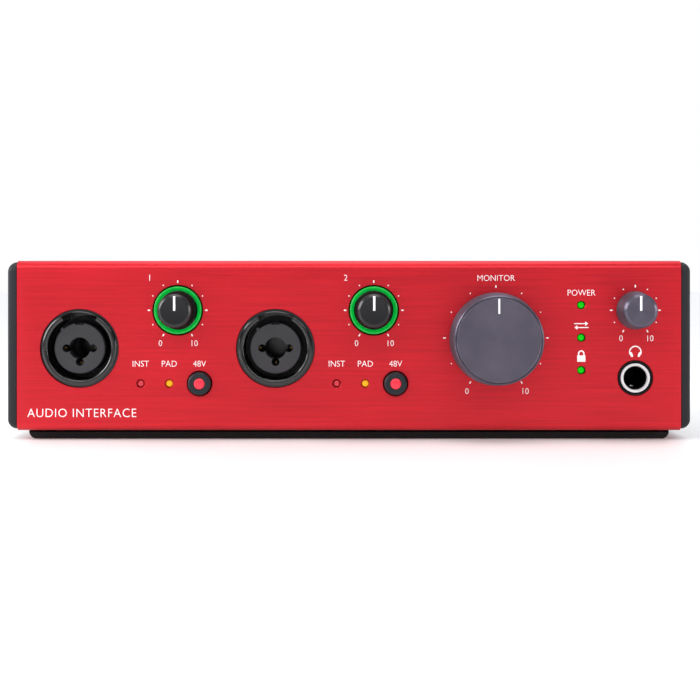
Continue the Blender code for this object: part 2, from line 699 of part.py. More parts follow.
def make_usb_port():
    """A small reversible port: a bright shell around a thin tongue."""
    mouth_y = PANEL_Y + 0.0004
    port = rear_block("usb_port", USB_X, REAR_Z, 0.00455, 0.0017, 0.0660, mouth_y, NICKEL)
    bevel(port, 0.0012, 2)
    cut(port, rear_block("cut_usb", USB_X, REAR_Z, 0.0041, 0.00125, 0.0690, mouth_y + 0.001))
    join(port, rear_block("join_usb", USB_X, REAR_Z, 0.0033, 0.00035, 0.0680, mouth_y - 0.0006))


def make_optical_port():
    """A square optical socket, closed by a flap that swings inwards about its top edge."""
    mouth_y = PANEL_Y + 0.0004
    x, z = OPTICAL_X, REAR_Z
    port = rear_block("optical_port", x, z, 0.0053, 0.0053, 0.0600, mouth_y, BLACK_PLASTIC)
    half = SHUTTER_SIZE / 2
    clear = half + 0.00035
    cut(port, rear_block("cut_optical", x, z, clear, clear, 0.0630, mouth_y + 0.001))
    flap = rear_block("optical_shutter", x, z, half, half, 0.0748, 0.0756, DARK_PLASTIC)
    hinge = Vector((x, 0.0752, z + half - 0.0004))
    flap.data.transform(Matrix.Translation(flap.location - hinge))
    flap.location = hinge


def make_power_switch():
    """A rocker switch: the snap-in housing, and the rocker that tilts about its middle."""
    x, z = ROCKER_X, ROCKER_Z
    bezel_y = PANEL_Y + 0.0014
    housing = rear_block(
        "power_switch_housing", x, z, 0.0083, 0.0113, PANEL_Y + GAP, bezel_y, BLACK_PLASTIC
    )
    join(housing, rear_block("join_switch", x, z, 0.0070, 0.0100, 0.0610, bezel_y - 0.0003))
    clear = 0.0006
    half_width = ROCKER_HALF_WIDTH + clear
    half_height = ROCKER_HALF_HEIGHT + 2 * clear
    cut(housing, rear_block("cut_switch", x, z, half_width, half_height, 0.0680, bezel_y + 0.001))

    ridge, keel = 0.0060, -0.0030
    flank = ridge - ROCKER_HALF_HEIGHT * sin(ROCKER_TILT)
    shoulder = ROCKER_HALF_HEIGHT - 0.0012
    outline = [(ridge, 0.0), (flank, ROCKER_HALF_HEIGHT), (-0.0010, shoulder)]
    outline += [(keel, 0.0), (-0.0010, -shoulder), (flank, -ROCKER_HALF_HEIGHT)]
    turn = Matrix.Rotation(ROCKER_TILT, 2)
    solid = bmesh.new()
    base = [solid.verts.new((-ROCKER_HALF_WIDTH, *(turn @ Vector(point)))) for point in outline]
    swept = bmesh.ops.extrude_face_region(solid, geom=[solid.faces.new(base)])
    moved = [v for v in swept["geom"] if isinstance(v, bmesh.types.BMVert)]
    bmesh.ops.translate(solid, verts=moved, vec=(2 * ROCKER_HALF_WIDTH, 0.0, 0.0))
    bmesh.ops.recalc_face_normals(solid, faces=solid.faces)
    mesh = bpy.data.meshes.new("power_rocker")
    solid.to_mesh(mesh)
    solid.free()
    rocker = new_object("power_rocker", mesh, BLACK_PLASTIC)
    rocker.location = (x, ROCKER_PIVOT_Y, z)


make_shell()
make_cheek("left_cheek", -1)
make_cheek("right_cheek", 1)
make_foot("front_foot", FRONT_Y + FRONT_FOOT_INSET)
make_foot("rear_foot", SHELL_BACK_Y - REAR_FOOT_INSET - FOOT_DEPTH)
make_rear_panel()
make_rear_screws()
make_tray()
make_boards()
for number, channel_x in enumerate(CHANNEL_X, 1):
    make_combo(number, channel_x)
make_front_controls()
make_phones_socket()
for number, line_x in enumerate(LINE_X, 1):
    make_line_jack(number, line_x)
for socket_name, socket_x in MIDI_X.items():
    make_midi_socket(socket_name, socket_x)
make_power_inlet()
make_usb_port()
make_optical_port()
make_power_switch()
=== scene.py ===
"""The looks of the desktop audio interface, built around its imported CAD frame.

Metres, +Z up, front panel facing -Y. Turned pieces are drawn as (radius, height[, fillet]) points,
where height is measured outwards from the panel. Places and main sizes come from the CAD nodes' boxes.
"""

import json
from math import cos, pi, radians, sin

import bmesh
import bpy
from mathutils import Matrix, Vector


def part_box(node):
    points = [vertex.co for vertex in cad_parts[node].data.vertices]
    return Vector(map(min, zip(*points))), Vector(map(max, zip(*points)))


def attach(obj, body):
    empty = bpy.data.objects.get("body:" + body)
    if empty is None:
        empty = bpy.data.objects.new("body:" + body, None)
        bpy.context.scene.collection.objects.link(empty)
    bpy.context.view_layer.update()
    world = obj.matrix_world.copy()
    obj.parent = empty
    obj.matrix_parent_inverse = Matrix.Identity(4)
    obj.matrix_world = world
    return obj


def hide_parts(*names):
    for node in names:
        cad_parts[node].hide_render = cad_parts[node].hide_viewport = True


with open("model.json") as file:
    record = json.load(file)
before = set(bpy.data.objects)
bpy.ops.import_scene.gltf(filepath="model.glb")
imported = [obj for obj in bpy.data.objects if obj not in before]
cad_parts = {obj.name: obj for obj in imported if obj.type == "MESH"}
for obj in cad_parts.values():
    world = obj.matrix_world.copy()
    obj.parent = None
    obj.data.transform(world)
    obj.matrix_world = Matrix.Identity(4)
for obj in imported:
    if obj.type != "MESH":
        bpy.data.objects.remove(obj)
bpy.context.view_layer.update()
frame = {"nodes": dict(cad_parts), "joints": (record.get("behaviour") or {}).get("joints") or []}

# Directions, counts and small distances
CASE = "case"
FACING_FRONT = Matrix.Rotation(pi / 2, 4, "X")
FACING_BACK = Matrix.Rotation(-pi / 2, 4, "X")
CHANNELS = (1, 2)
LINE_OUTPUTS = (1, 2, 3, 4)
REAR_SCREWS = (1, 2)
FILLET_STEPS = 5
TINY = 1e-7
INK = 0.00003
HAIRLINE = 0.00008
SEAM = 0.0003

# The two sheets, and where a piece behind each of them starts
SHELL_LOW, SHELL_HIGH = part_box("outer_shell")
SHELL_WALL = 0.0018
SHELL_RADIUS = 0.0025
FRONT_Y = SHELL_LOW.y
PANEL_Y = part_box("rear_panel")[1].y
BEHIND_SHELL = -0.0021
BLOCK_FRONT_Y = FRONT_Y + SHELL_WALL + 0.0004
BLOCK_BACK_Y = PANEL_Y - 0.0018

# Front holes and the pieces that fill them
BEZEL_RADIUS = 0.01195
HALO_RADIUS = 0.0073
HALO_GAP = 0.0004
BUTTON_GAP = 0.00028
LED_HOLE_RADIUS = 0.0013
COLLAR_RADIUS = 0.0053
BUSH_HOLE_RADIUS = 0.0040
INSERT_RADIUS = 0.00785
INSERT_FACE = -0.0008

# Knobs: the skirt turns into the polished shoulder between these heights, and caps fit on their bosses
POLISHED_FROM = (0.0109, 0.0115)
BOSS_RADIUS = 0.0028
CAP_THICKNESS = 0.0037

# Rear holes
LINE_HOLE_RADIUS = 0.0046
MIDI_HOLE_RADIUS = 0.0076
INLET_HOLE_RADIUS = 0.0047
SCREW_HOLE_RADIUS = 0.0017

# Print
WORD_HEIGHT = 0.0018
NARROW = 0.95

# Light: the room's level, the backdrop's level, and each lamp's place, aim, width, height and power
AMBIENT = 0.34
BACKDROP = 1.0
LAMPS = (
    ("front_strip", (0.0, -0.75, 0.52), (0.0, -0.06, 0.04), 1.5, 0.14, 4.0),
    ("left_box", (-0.75, -0.20, 0.36), (0.0, -0.06, 0.03), 0.45, 0.45, 6.5),
    ("right_box", (0.80, -0.20, 0.16), (0.0, -0.06, 0.03), 0.16, 0.25, 2.0),
)


# Places, from the frame

def middle(node):
    low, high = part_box(node)
    return (low + high) / 2


def radius_of(node):
    low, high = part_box(node)
    return (high.x - low.x) / 2


def on_front(x, z):
    return Vector((x, FRONT_Y, z))


def on_back(x, z):
    return Vector((x, PANEL_Y, z))


def front_of(node):
    place = middle(node)
    return on_front(place.x, place.z)


def back_of(node):
    place = middle(node)
    return on_back(place.x, place.z)


def pin_places(node):
    """Where a light pipe's two or three pins reach the front panel."""
    low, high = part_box(node)
    half = 0.0013
    if high.x - low.x > high.z - low.z:
        z = (low.z + high.z) / 2
        return [on_front(low.x + half, z), on_front(high.x - half, z)]
    x = (low.x + high.x) / 2
    return [on_front(x, z) for z in (high.z - half, (low.z + high.z) / 2, low.z + half)]


# Materials

class NodeTree:
    """Nodes of a material or a world, made with their inputs set or linked by name."""

    def __init__(self, owner):
        owner.use_nodes = True
        self.nodes = owner.node_tree.nodes
        self.links = owner.node_tree.links

    def fill(self, made, inputs):
        for name, value in inputs.items():
            socket = made.inputs[name.replace("_", " ")]
            if isinstance(value, bpy.types.NodeSocket):
                self.links.new(value, socket)
            elif socket.type == "RGBA":
                socket.default_value = (*value, 1.0)
            else:
                socket.default_value = value
        return made

    def node(self, kind, **inputs):
        return self.fill(self.nodes.new("ShaderNode" + kind), inputs)

    def span(self, value, low, high, start=0.0, end=1.0):
        """low to high, as value goes from start to end."""
        made = self.node("MapRange", Value=value, From_Min=start, From_Max=end, To_Min=low, To_Max=high)
        return made.outputs["Result"]


class Finish(NodeTree):
    """One node material, built up from its Principled shader."""

    def __init__(self, name, colour, roughness, metallic=0.0, **extra):
        self.material = bpy.data.materials.new(name)
        super().__init__(self.material)
        self.colour = colour
        self.use(Base_Color=colour, Roughness=roughness, Metallic=metallic, **extra)

    def use(self, **inputs):
        self.fill(self.nodes["Principled BSDF"], inputs)

    def place(self, scale=(1, 1, 1)):
        """Object coordinates, in metres, scaled along each axis."""
        vector = self.node("TexCoord").outputs["Object"]
        return self.node("Mapping", Vector=vector, Scale=scale).outputs["Vector"]

    def noise(self, scale, stretch=(1, 1, 1), detail=2.0):
        vector = self.place(tuple(scale * s for s in stretch))
        return self.node("TexNoise", Vector=vector, Scale=1.0, Detail=detail).outputs["Fac"]

    def along_axis(self):
        """Height along the piece's own Z axis, in metres."""
        return self.node("SeparateXYZ", Vector=self.place()).outputs["Z"]

    def rings(self, pitch, distortion):
        """Concentric grooves about the piece's own Z axis."""
        made = self.node("TexWave", Vector=self.place(), Scale=0.31831 / pitch, Distortion=distortion)
        made.wave_type = "RINGS"
        made.rings_direction = "Z"
        return made.outputs["Fac"]

    def mix(self, factor, first, second):
        return self.node("MixRGB", Fac=factor, Color1=first, Color2=second).outputs["Color"]

    def add(self, first, second, share):
        """first plus share times second."""
        made = self.node("Math")
        made.operation = "MULTIPLY_ADD"
        self.links.new(second, made.inputs[0])
        made.inputs[1].default_value = share
        self.links.new(first, made.inputs[2])
        return made.outputs["Value"]

    def tint(self, factor, low, high):
        """The base colour runs from low to high times itself as factor goes from 0.3 to 0.7."""
        dark = tuple(c * low for c in self.colour)
        light = tuple(min(1.0, c * high) for c in self.colour)
        self.use(Base_Color=self.mix(self.span(factor, 0.0, 1.0, 0.3, 0.7), dark, light))

    def bump(self, height, strength, distance):
        made = self.node("Bump", Height=height, Strength=strength, Distance=distance)
        self.use(Normal=made.outputs["Normal"])


def brushed_red():
    """Red anodised aluminium, brushed along its width: long fine streaks in tone, gloss and relief."""
    finish = Finish("brushed_red", (0.60, 0.010, 0.021), 0.4, 0.7)
    fine = finish.noise(1.0, (60, 3400, 3400), 3.0)
    broad = finish.noise(1.0, (30, 1300, 1300), 2.0)
    cloud = finish.noise(26.0)
    streaks = finish.add(finish.span(broad, 0.0, 0.6), fine, 0.4)
    finish.tint(finish.add(finish.span(streaks, 0.0, 0.75), cloud, 0.25), 0.80, 1.18)
    finish.use(Roughness=finish.span(fine, 0.32, 0.5), Coat_Weight=0.2, Coat_Roughness=0.25)
    finish.bump(fine, 0.2, 0.00004)
    return finish.material


def moulded(name, colour, roughness, grain, strength=0.15, variation=0.12, **extra):
    """Moulded plastic or rubber: a fine surface grain and a slow change of tone."""
    finish = Finish(name, colour, roughness, **extra)
    fine = finish.noise(grain, detail=3.0)
    slow = finish.noise(90.0)
    finish.tint(slow, 1.0 - variation, 1.0 + variation)
    finish.use(Roughness=finish.span(slow, roughness * 0.9, roughness * 1.12))
    finish.bump(fine, strength, 0.00006)
    return finish.material


def turned_metal():
    """Metal faced on a lathe: fine concentric grooves spread highlights, under a faint soft film."""
    finish = Finish("grey_turned_metal", (0.112, 0.1, 0.132), 0.34, 0.75)
    grooves = finish.rings(0.00011, 0.6)
    finish.tint(finish.noise(160.0), 0.93, 1.07)
    finish.bump(grooves, 0.25, 0.00002)
    tangent = finish.node("Tangent")
    tangent.direction_type = "RADIAL"
    tangent.axis = "Z"
    finish.use(Roughness=finish.span(grooves, 0.289, 0.408), Tangent=tangent.outputs["Tangent"])
    finish.use(Anisotropic=0.8, Anisotropic_Rotation=0.25, Specular_Tint=(0.3, 0.28, 0.34))
    finish.use(Sheen_Weight=0.08, Sheen_Roughness=0.35, Sheen_Tint=(0.8, 0.74, 0.95))
    return finish.material


def plated(name, colour, roughness, smudge=0.5):
    """Plated metal with faint handling marks in its gloss."""
    finish = Finish(name, colour, roughness, 1.0)
    marks = finish.noise(420.0, detail=4.0)
    low, high = roughness * (1 - smudge), roughness * (1 + smudge)
    finish.use(Roughness=finish.span(marks, low, high, 0.3, 0.7))
    finish.tint(marks, 0.94, 1.04)
    finish.bump(finish.noise(2600.0), 0.03, 0.00002)
    return finish.material


def powder_coat():
    """Black-painted steel with a fine orange-peel texture."""
    finish = Finish("black_powder_coat", (0.016, 0.016, 0.018), 0.5)
    peel = finish.noise(1500.0, detail=1.0)
    finish.tint(finish.noise(60.0), 0.9, 1.1)
    finish.use(Roughness=finish.span(peel, 0.42, 0.6))
    finish.bump(peel, 0.35, 0.00008)
    return finish.material


def lit(name, colour, glow, strength, gloss=0.5):
    """A lit moulding: it glows, a little unevenly, and still has a smooth surface of its own."""
    finish = Finish(name, colour, 0.28, Emission_Strength=strength, Specular_IOR_Level=gloss)
    cells = finish.noise(700.0)
    dim = tuple(c * 0.72 for c in glow)
    finish.use(Emission_Color=finish.mix(finish.span(cells, 0.0, 1.0, 0.35, 0.65), dim, glow))
    finish.tint(cells, 0.92, 1.08)
    return finish.material


def circuit_board():
    """Green solder mask over a faint pattern of tracks."""
    finish = Finish("circuit_board", (0.012, 0.09, 0.035), 0.35)
    tracks = finish.node("TexBrick", Vector=finish.place((220, 220, 220)), Scale=1.0, Mortar_Size=0.03)
    finish.tint(finish.span(tracks.outputs["Fac"], 0.35, 0.8), 0.85, 1.9)
    finish.bump(tracks.outputs["Fac"], 0.1, 0.00005)
    return finish.material


def knob_plastic():
    """Black plastic with a matt skirt and a polished top and shoulder."""
    finish = Finish("knob_plastic", (0.006, 0.006, 0.0075), 0.4)
    finish.tint(finish.noise(90.0), 0.9, 1.1)
    polished = finish.span(finish.along_axis(), 0.0, 1.0, *POLISHED_FROM)
    finish.use(Specular_IOR_Level=finish.span(polished, 0.02, 0.4))
    finish.use(Roughness=finish.span(polished, 0.7, 0.3))
    finish.bump(finish.noise(2600.0), 0.04, 0.00004)
    return finish.material


def sleeve(name, colour):
    """The matt wall of a light's sleeve, in a dim shade of its light: the tint is painted glow of that light
    on an unlit wall.
    """
    return moulded(name, colour, 0.7, 900.0, 0.05, Specular_IOR_Level=0.05)


RED = brushed_red()
CHEEK = moulded("soft_dark_plastic", (0.0115, 0.0108, 0.0142), 0.55, 2600.0, 0.25, Specular_IOR_Level=0.3)
RUBBER = moulded("rubber", (0.0075, 0.006, 0.0065), 0.6, 1600.0, 0.5, Specular_IOR_Level=0.25)
BLACK = moulded("black_plastic", (0.003, 0.003, 0.0035), 0.35, 2600.0, 0.06, Specular_IOR_Level=0.15)
GLOSS_BLACK = moulded(
    "glossy_black_plastic", (0.002, 0.0023, 0.003), 0.2, 1500.0, 0.02, Specular_IOR_Level=0.65
)
INSERT = moulded("insert_plastic", (0.030, 0.029, 0.033), 0.5, 2200.0, 0.2, Specular_IOR_Level=0.4)
KNOB_BLACK = knob_plastic()
BUTTON = moulded("button_plastic", (0.010, 0.015, 0.019), 0.45, 2600.0, Specular_IOR_Level=0.3)
GREY_METAL = turned_metal()
NICKEL = plated("nickel", (0.78, 0.76, 0.76), 0.16)
SATIN_SILVER = moulded("satin_silver", (0.72, 0.70, 0.71), 0.45, 1800.0, 0.05, 0.04, metallic=0.25)
ZINC = plated("zinc_steel", (0.5, 0.5, 0.52), 0.4, 0.3)
GOLD = plated("gold_contact", (0.83, 0.56, 0.18), 0.22)
PANEL_PAINT = powder_coat()
PRINT = moulded("white_print", (0.97, 0.90, 0.91), 0.5, 1800.0, 0.1, 0.02)
POINTER = moulded("white_inlay", (0.9, 0.9, 0.93), 0.4, 1800.0, 0.05, 0.02)
BOARD = circuit_board()
GREEN_RING = lit("green_ring_light", (0.0, 0.16, 0.02), (0.0, 0.49, 0.045), 0.75)
GREEN_LED = lit("green_led", (0.0, 0.1, 0.0), (0.0, 0.66, 0.0), 0.9, 0.2)
AMBER_LED = lit("amber_led", (0.4, 0.18, 0.01), (0.92, 0.44, 0.015), 0.8, 0.2)
RED_LENS = lit("red_lens", (0.5, 0.012, 0.03), (0.95, 0.03, 0.06), 0.6)
DARK_LED = moulded("unlit_red_led", (0.64, 0.035, 0.055), 0.25, 900.0, 0.05)
# Sleeve colours are painted glow: each is a dim copy of its light's colour on a wall that no light reaches.
RED_SLEEVE = sleeve("red_sleeve", (0.14, 0.004, 0.006))
AMBER_SLEEVE = sleeve("amber_sleeve", (0.22, 0.03, 0.001))
GREEN_SLEEVE = sleeve("green_sleeve", (0.002, 0.05, 0.006))


# Geometry

def arc_points(x, z, radius, start, end, steps=16):
    """Points along an arc about (x, z), between two angles in degrees."""
    angles = [radians(start + (end - start) * i / steps) for i in range(steps + 1)]
    return [(x + radius * cos(a), z + radius * sin(a)) for a in angles]


def softened(profile):
    """The profile with every corner that names a fillet turned into a short curve."""
    points = []
    for i, point in enumerate(profile):
        corner = Vector(point[:2])
        if len(point) < 3:
            points.append(corner)
            continue
        before = Vector(profile[i - 1][:2]) - corner
        after = Vector(profile[(i + 1) % len(profile)][:2]) - corner
        start = corner + before.normalized() * min(point[2], before.length * 0.49)
        end = corner + after.normalized() * min(point[2], after.length * 0.49)
        for step in range(FILLET_STEPS + 1):
            t = step / FILLET_STEPS
            points.append((1 - t) ** 2 * start + 2 * t * (1 - t) * corner + t**2 * end)
    return points


def soften(mesh, sharp=35):
    """Smooth shading, except over edges sharper than an angle in degrees."""
    mesh.shade_smooth()
    mesh.set_sharp_from_angle(angle=radians(sharp))


def placed(name, solid, matrix, material):
    """An object whose mesh is a solid built about its own origin."""
    mesh = bpy.data.meshes.new(name)
    solid.to_mesh(mesh)
    solid.free()
    obj = bpy.data.objects.new(name, mesh)
    obj.matrix_world = matrix
    bpy.context.scene.collection.objects.link(obj)
    if material:
        mesh.materials.append(material)
    return obj


def moulding(name, solid, matrix, material, sharp=35):
    """A placed solid with its faces turned outwards and its shading softened."""
    bmesh.ops.recalc_face_normals(solid, faces=solid.faces)
    obj = placed(name, solid, matrix, material)
    soften(obj.data, sharp)
    return obj


def lathe(name, profile, centre, facing, material=None, steps=96):
    """Turns a profile about the panel's normal through centre; the profile closes back onto its start."""
    solid = bmesh.new()
    rings = []
    for radius, height in softened(profile):
        if radius < TINY:
            rings.append([solid.verts.new((0.0, 0.0, height))])
            continue
        angles = [2 * pi * i / steps for i in range(steps)]
        rings.append([solid.verts.new((radius * cos(a), radius * sin(a), height)) for a in angles])
    for upper, lower in zip(rings, rings[1:] + rings[:1]):
        for i in range(steps):
            places = ((upper, i), (upper, i + 1), (lower, i + 1), (lower, i))
            corners = list(dict.fromkeys(ring[k % len(ring)] for ring, k in places))
            if len(corners) > 2:
                solid.faces.new(corners)
    return moulding(name, solid, Matrix.Translation(centre) @ facing, material)


def brick(name, low, high, material=None, width=0.0, segments=3):
    """A box between two corners, with its edges rounded by width."""
    low, high = Vector(low), Vector(high)
    solid = bmesh.new()
    bmesh.ops.create_cube(solid, size=1.0, matrix=Matrix.Diagonal((*(high - low), 1.0)))
    if width:
        round_edges(solid, solid.edges[:], width, segments)
    return moulding(name, solid, Matrix.Translation((low + high) / 2), material)


def round_edges(solid, edges, width, segments):
    bmesh.ops.bevel(solid, geom=edges, offset=width, segments=segments, profile=0.5, affect="EDGES")


def extrude(solid, faces, offset):
    """Sweeps faces along an offset into a closed solid."""
    swept = bmesh.ops.extrude_face_region(solid, geom=faces)
    moved = [v for v in swept["geom"] if isinstance(v, bmesh.types.BMVert)]
    bmesh.ops.translate(solid, verts=moved, vec=offset)


def prism(name, outline, depth, matrix, material=None, width=0.0):
    """A flat outline in its own XY plane, extruded upwards by depth, its edges rounded by width."""
    solid = bmesh.new()
    face = solid.faces.new([solid.verts.new((x, y, 0.0)) for x, y in outline])
    extrude(solid, [face], (0.0, 0.0, depth))
    if width:
        rims = [e for e in solid.edges if abs(e.verts[0].co.z - e.verts[1].co.z) < TINY]
        round_edges(solid, rims, width, 2)
    return moulding(name, solid, matrix, material)


def loft(solid, rings):
    """Walls between successive rings of vertices, with a face over each end."""
    for near, far in zip(rings, rings[1:]):
        for i in range(len(near)):
            j = (i + 1) % len(near)
            solid.faces.new((near[i], near[j], far[j], far[i]))
    solid.faces.new(rings[0])
    solid.faces.new(rings[-1])


def combine(obj, others, operation):
    """Cuts the other solids from obj, or joins them to it, and removes them."""
    for other in others:
        modifier = obj.modifiers.new("Boolean", "BOOLEAN")
        modifier.operation = operation
        modifier.solver = "EXACT"
        modifier.object = other
    graph = bpy.context.evaluated_depsgraph_get()
    mesh = bpy.data.meshes.new_from_object(obj.evaluated_get(graph), depsgraph=graph)
    obj.modifiers.clear()
    obj.data = mesh
    soften(mesh)
    for other in others:
        bpy.data.objects.remove(other, do_unlink=True)


def carve(obj, *others):
    combine(obj, others, "DIFFERENCE")


def weld(obj, *others):
    combine(obj, others, "UNION")


def drill(centre, facing, radius, depth, steps=96):
    """A cutter for a plain round hole, down to a depth below the panel's face."""
    above = 0.004
    profile = [(0.0, above), (radius, above), (radius, -depth), (0.0, -depth)]
    return lathe("cutter", profile, centre, facing, steps=steps)


def chamfered_hole(centre, facing, radius, chamfer=0.00015, depth=0.004, steps=96):
    """A cutter for a round hole whose mouth is broken by a small chamfer."""
    above = 0.002
    profile = [(0.0, above), (radius + chamfer + above, above), (radius, -chamfer)]
    profile += [(radius, -depth), (0.0, -depth)]
    return lathe("cutter", profile, centre, facing, steps=steps)


def take(obj, body, slot, *replaced):
    """Puts a finished piece on its body and hides the CAD nodes it stands for; the slot argument is not
    used.
    """
    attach(obj, body)
    if replaced:
        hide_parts(*replaced)
    return obj


def make_block(name, node, centre, facing, radius, depth, width=0.0004):
    """A socket's square block behind its panel, bored for the round piece that carries the mouth."""
    low, high = (corner.copy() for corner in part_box(node))
    if facing is FACING_FRONT:
        low.y = BLOCK_FRONT_Y
    else:
        high.y = BLOCK_BACK_Y
    block = brick(name, low, high, BLACK, width, 2)
    carve(block, drill(centre, facing, radius, depth))
    take(block, CASE, "black_plastic", node)


# The case

def make_shell():
    """The wrap-around sheet, rounded along its two front edges, with every front hole cut in it."""
    r, half = SHELL_RADIUS, (SHELL_HIGH.x - SHELL_LOW.x) / 2
    low_z, high_z, back_y = SHELL_LOW.z, SHELL_HIGH.z, SHELL_HIGH.y
    outline = [(back_y, low_z)]
    outline += arc_points(FRONT_Y + r, low_z + r, r, 270, 180, 12)
    outline += arc_points(FRONT_Y + r, high_z - r, r, 180, 90, 12)
    outline.append((back_y, high_z))
    sheet = bmesh.new()
    left = [sheet.verts.new((-half, y, z)) for y, z in outline]
    right = [sheet.verts.new((half, y, z)) for y, z in outline]
    for i in range(len(outline) - 1):
        sheet.faces.new((left[i], right[i], right[i + 1], left[i + 1]))
    shell = placed("shell_skin", sheet, Matrix.Identity(4), RED)
    solidify = shell.modifiers.new("Solidify", "SOLIDIFY")
    solidify.thickness = SHELL_WALL
    solidify.offset = -1.0
    solidify.use_even_offset = True
    edge = shell.modifiers.new("Bevel", "BEVEL")
    edge.width = 0.0002
    edge.segments = 2
    edge.limit_method = "ANGLE"
    edge.angle_limit = radians(50)
    holes = []

    def hole(centre, radius, chamfer=0.00015):
        holes.append(chamfered_hole(centre, FACING_FRONT, radius, chamfer))

    for n in CHANNELS:
        hole(front_of(f"combo_housing_{n}"), BEZEL_RADIUS + HAIRLINE)
        hole(front_of(f"halo_ring_{n}"), HALO_RADIUS + HALO_GAP)
        hole(front_of(f"phantom_button_{n}"), radius_of(f"phantom_button_{n}") + BUTTON_GAP)
        for place in pin_places(f"channel_light_pipe_{n}"):
            hole(place, LED_HOLE_RADIUS, 0.0001)
    for place in pin_places("status_light_pipe"):
        hole(place, LED_HOLE_RADIUS, 0.0001)
    hole(front_of("monitor_knob"), BUSH_HOLE_RADIUS)
    hole(front_of("phones_knob"), BUSH_HOLE_RADIUS)
    hole(front_of("phones_jack_sleeve"), COLLAR_RADIUS + HAIRLINE)
    carve(shell, *holes)
    take(shell, CASE, "red_shell", "outer_shell")


def make_cheek(node, side):
    """A soft end cap: broad roll at top and bottom, tight front and rear edges, a slightly swollen face."""
    low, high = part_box(node)
    inner = side * (SHELL_HIGH.x + HAIRLINE)
    outer = high.x if side > 0 else low.x
    corner, roll, edge, crown = 0.0030, 0.0026, 0.0009, 0.0001
    steps = 8
    middle_y, middle_z = (low.y + high.y) / 2, (low.z + high.z) / 2
    half_y, half_z = (high.y - low.y) / 2, (high.z - low.z) / 2

    def outline(inset):
        points = []
        r = max(corner - inset, 0.0004)
        reach_y, reach_z = half_y - inset * edge / roll - r, half_z - inset - r
        for quarter, (sy, sz) in enumerate(((1, 1), (-1, 1), (-1, -1), (1, -1))):
            start = 90 * quarter
            corner_y, corner_z = middle_y + sy * reach_y, middle_z + sz * reach_z
            points += arc_points(corner_y, corner_z, r, start, start + 90, steps)
        return points

    def swell(z):
        return crown * (1 - ((z - middle_z) / half_z) ** 2)

    layers = [(SEAM, 0.0), (0.0, SEAM)]
    thickness = abs(outer - inner) - crown
    for step in range(steps + 1):
        a = radians(90 * step / steps)
        layers.append((roll * (1 - cos(a)), thickness - roll * (1 - sin(a))))
    flat = half_z - roll - 0.001
    layers += [(roll + share * flat, thickness) for share in (0.1, 0.25, 0.45, 0.7, 1.0)]
    solid = bmesh.new()
    rings = []
    for inset, reach in layers:
        ring = []
        for y, z in outline(inset):
            bulge = swell(z) * min(1.0, reach / thickness)
            ring.append(solid.verts.new((inner + side * (reach + bulge), y, z)))
        rings.append(ring)
    loft(solid, rings)
    cheek = moulding(node + "_cap", solid, Matrix.Identity(4), CHEEK, 60)
    weld(cheek, make_plug(low, high, side))
    take(cheek, CASE, "dark_soft_plastic", node)


def make_plug(low, high, side):
    """The step on a cheek's inner face that fills the shell's open end as far as the rear panel."""
    panel_low, panel_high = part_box("rear_panel")
    root, tip = (high.x - 0.0010, low.x) if side > 0 else (low.x + 0.0010, high.x)
    near = (min(root, tip), low.y + SHELL_WALL + 0.0004, panel_low.z)
    far = (max(root, tip), high.y - 0.0004, panel_high.z)
    return brick("plug", near, far, None, 0.0006, 2)


def make_foot(node):
    """A rubber strip with its two lower ends well rounded."""
    low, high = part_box(node)
    radius, steps = 0.0023, 8
    outline = [(low.x, high.z), (high.x, high.z)]
    for centre_x, start in ((high.x - radius, 0), (low.x + radius, -90)):
        outline += arc_points(centre_x, low.z + radius, radius, start, start - 90, steps)
    matrix = Matrix.Translation((0.0, high.y, 0.0)) @ FACING_FRONT
    foot = prism(node + "_strip", outline, high.y - low.y, matrix, RUBBER, 0.0004)
    take(foot, CASE, "rubber", node)


# Input jacks

def make_combo(n):
    """A combination jack: a glossy arched bezel with its latch notch, a deep throat and an insert."""
    centre = front_of(f"combo_housing_{n}")
    mouth, outer, tilt, rise = 0.00985, 0.01135, 48, 0.0006
    throat, bore, bottom, sleeve_radius = 0.0180, 0.0050, 0.0300, 0.0115
    half = (outer - mouth) / 2
    arch = half / sin(radians(tilt))
    profile = [(BEZEL_RADIUS, BEHIND_SHELL), (BEZEL_RADIUS, -0.0012), (outer, -0.0012)]
    profile += arc_points(mouth + half, rise - arch, arch, 90 - tilt, 90 + tilt, 12)
    profile += [(mouth, -0.0022), (mouth, -throat), (bore, -throat), (bore, -bottom), (0.0, -bottom)]
    profile += [(0.0, -bottom - 0.0010), (sleeve_radius, -bottom - 0.0010), (sleeve_radius, -0.0023)]
    bezel = lathe(f"combo_bezel_{n}", profile, centre, FACING_FRONT, GLOSS_BLACK, 128)
    name, depth = f"combo_block_{n}", bottom + 0.0005
    make_block(name, f"combo_housing_{n}", centre, FACING_FRONT, sleeve_radius - SEAM, depth, 0.0005)
    carve(bezel, latch_cutter(centre))
    take(bezel, CASE, "black_plastic")
    make_insert(n, centre)


def latch_cutter(centre):
    """The ring sector cut from the bezel for the latch, 60 degrees wide."""
    outline = arc_points(0.0, 0.0, 0.01115, 60, 120, 14) + arc_points(0.0, 0.0, 0.0094, 120, 60, 14)
    matrix = Matrix.Translation(centre) @ FACING_FRONT @ Matrix.Translation((0, 0, -0.0170))
    return prism("cutter", outline, 0.021, matrix)


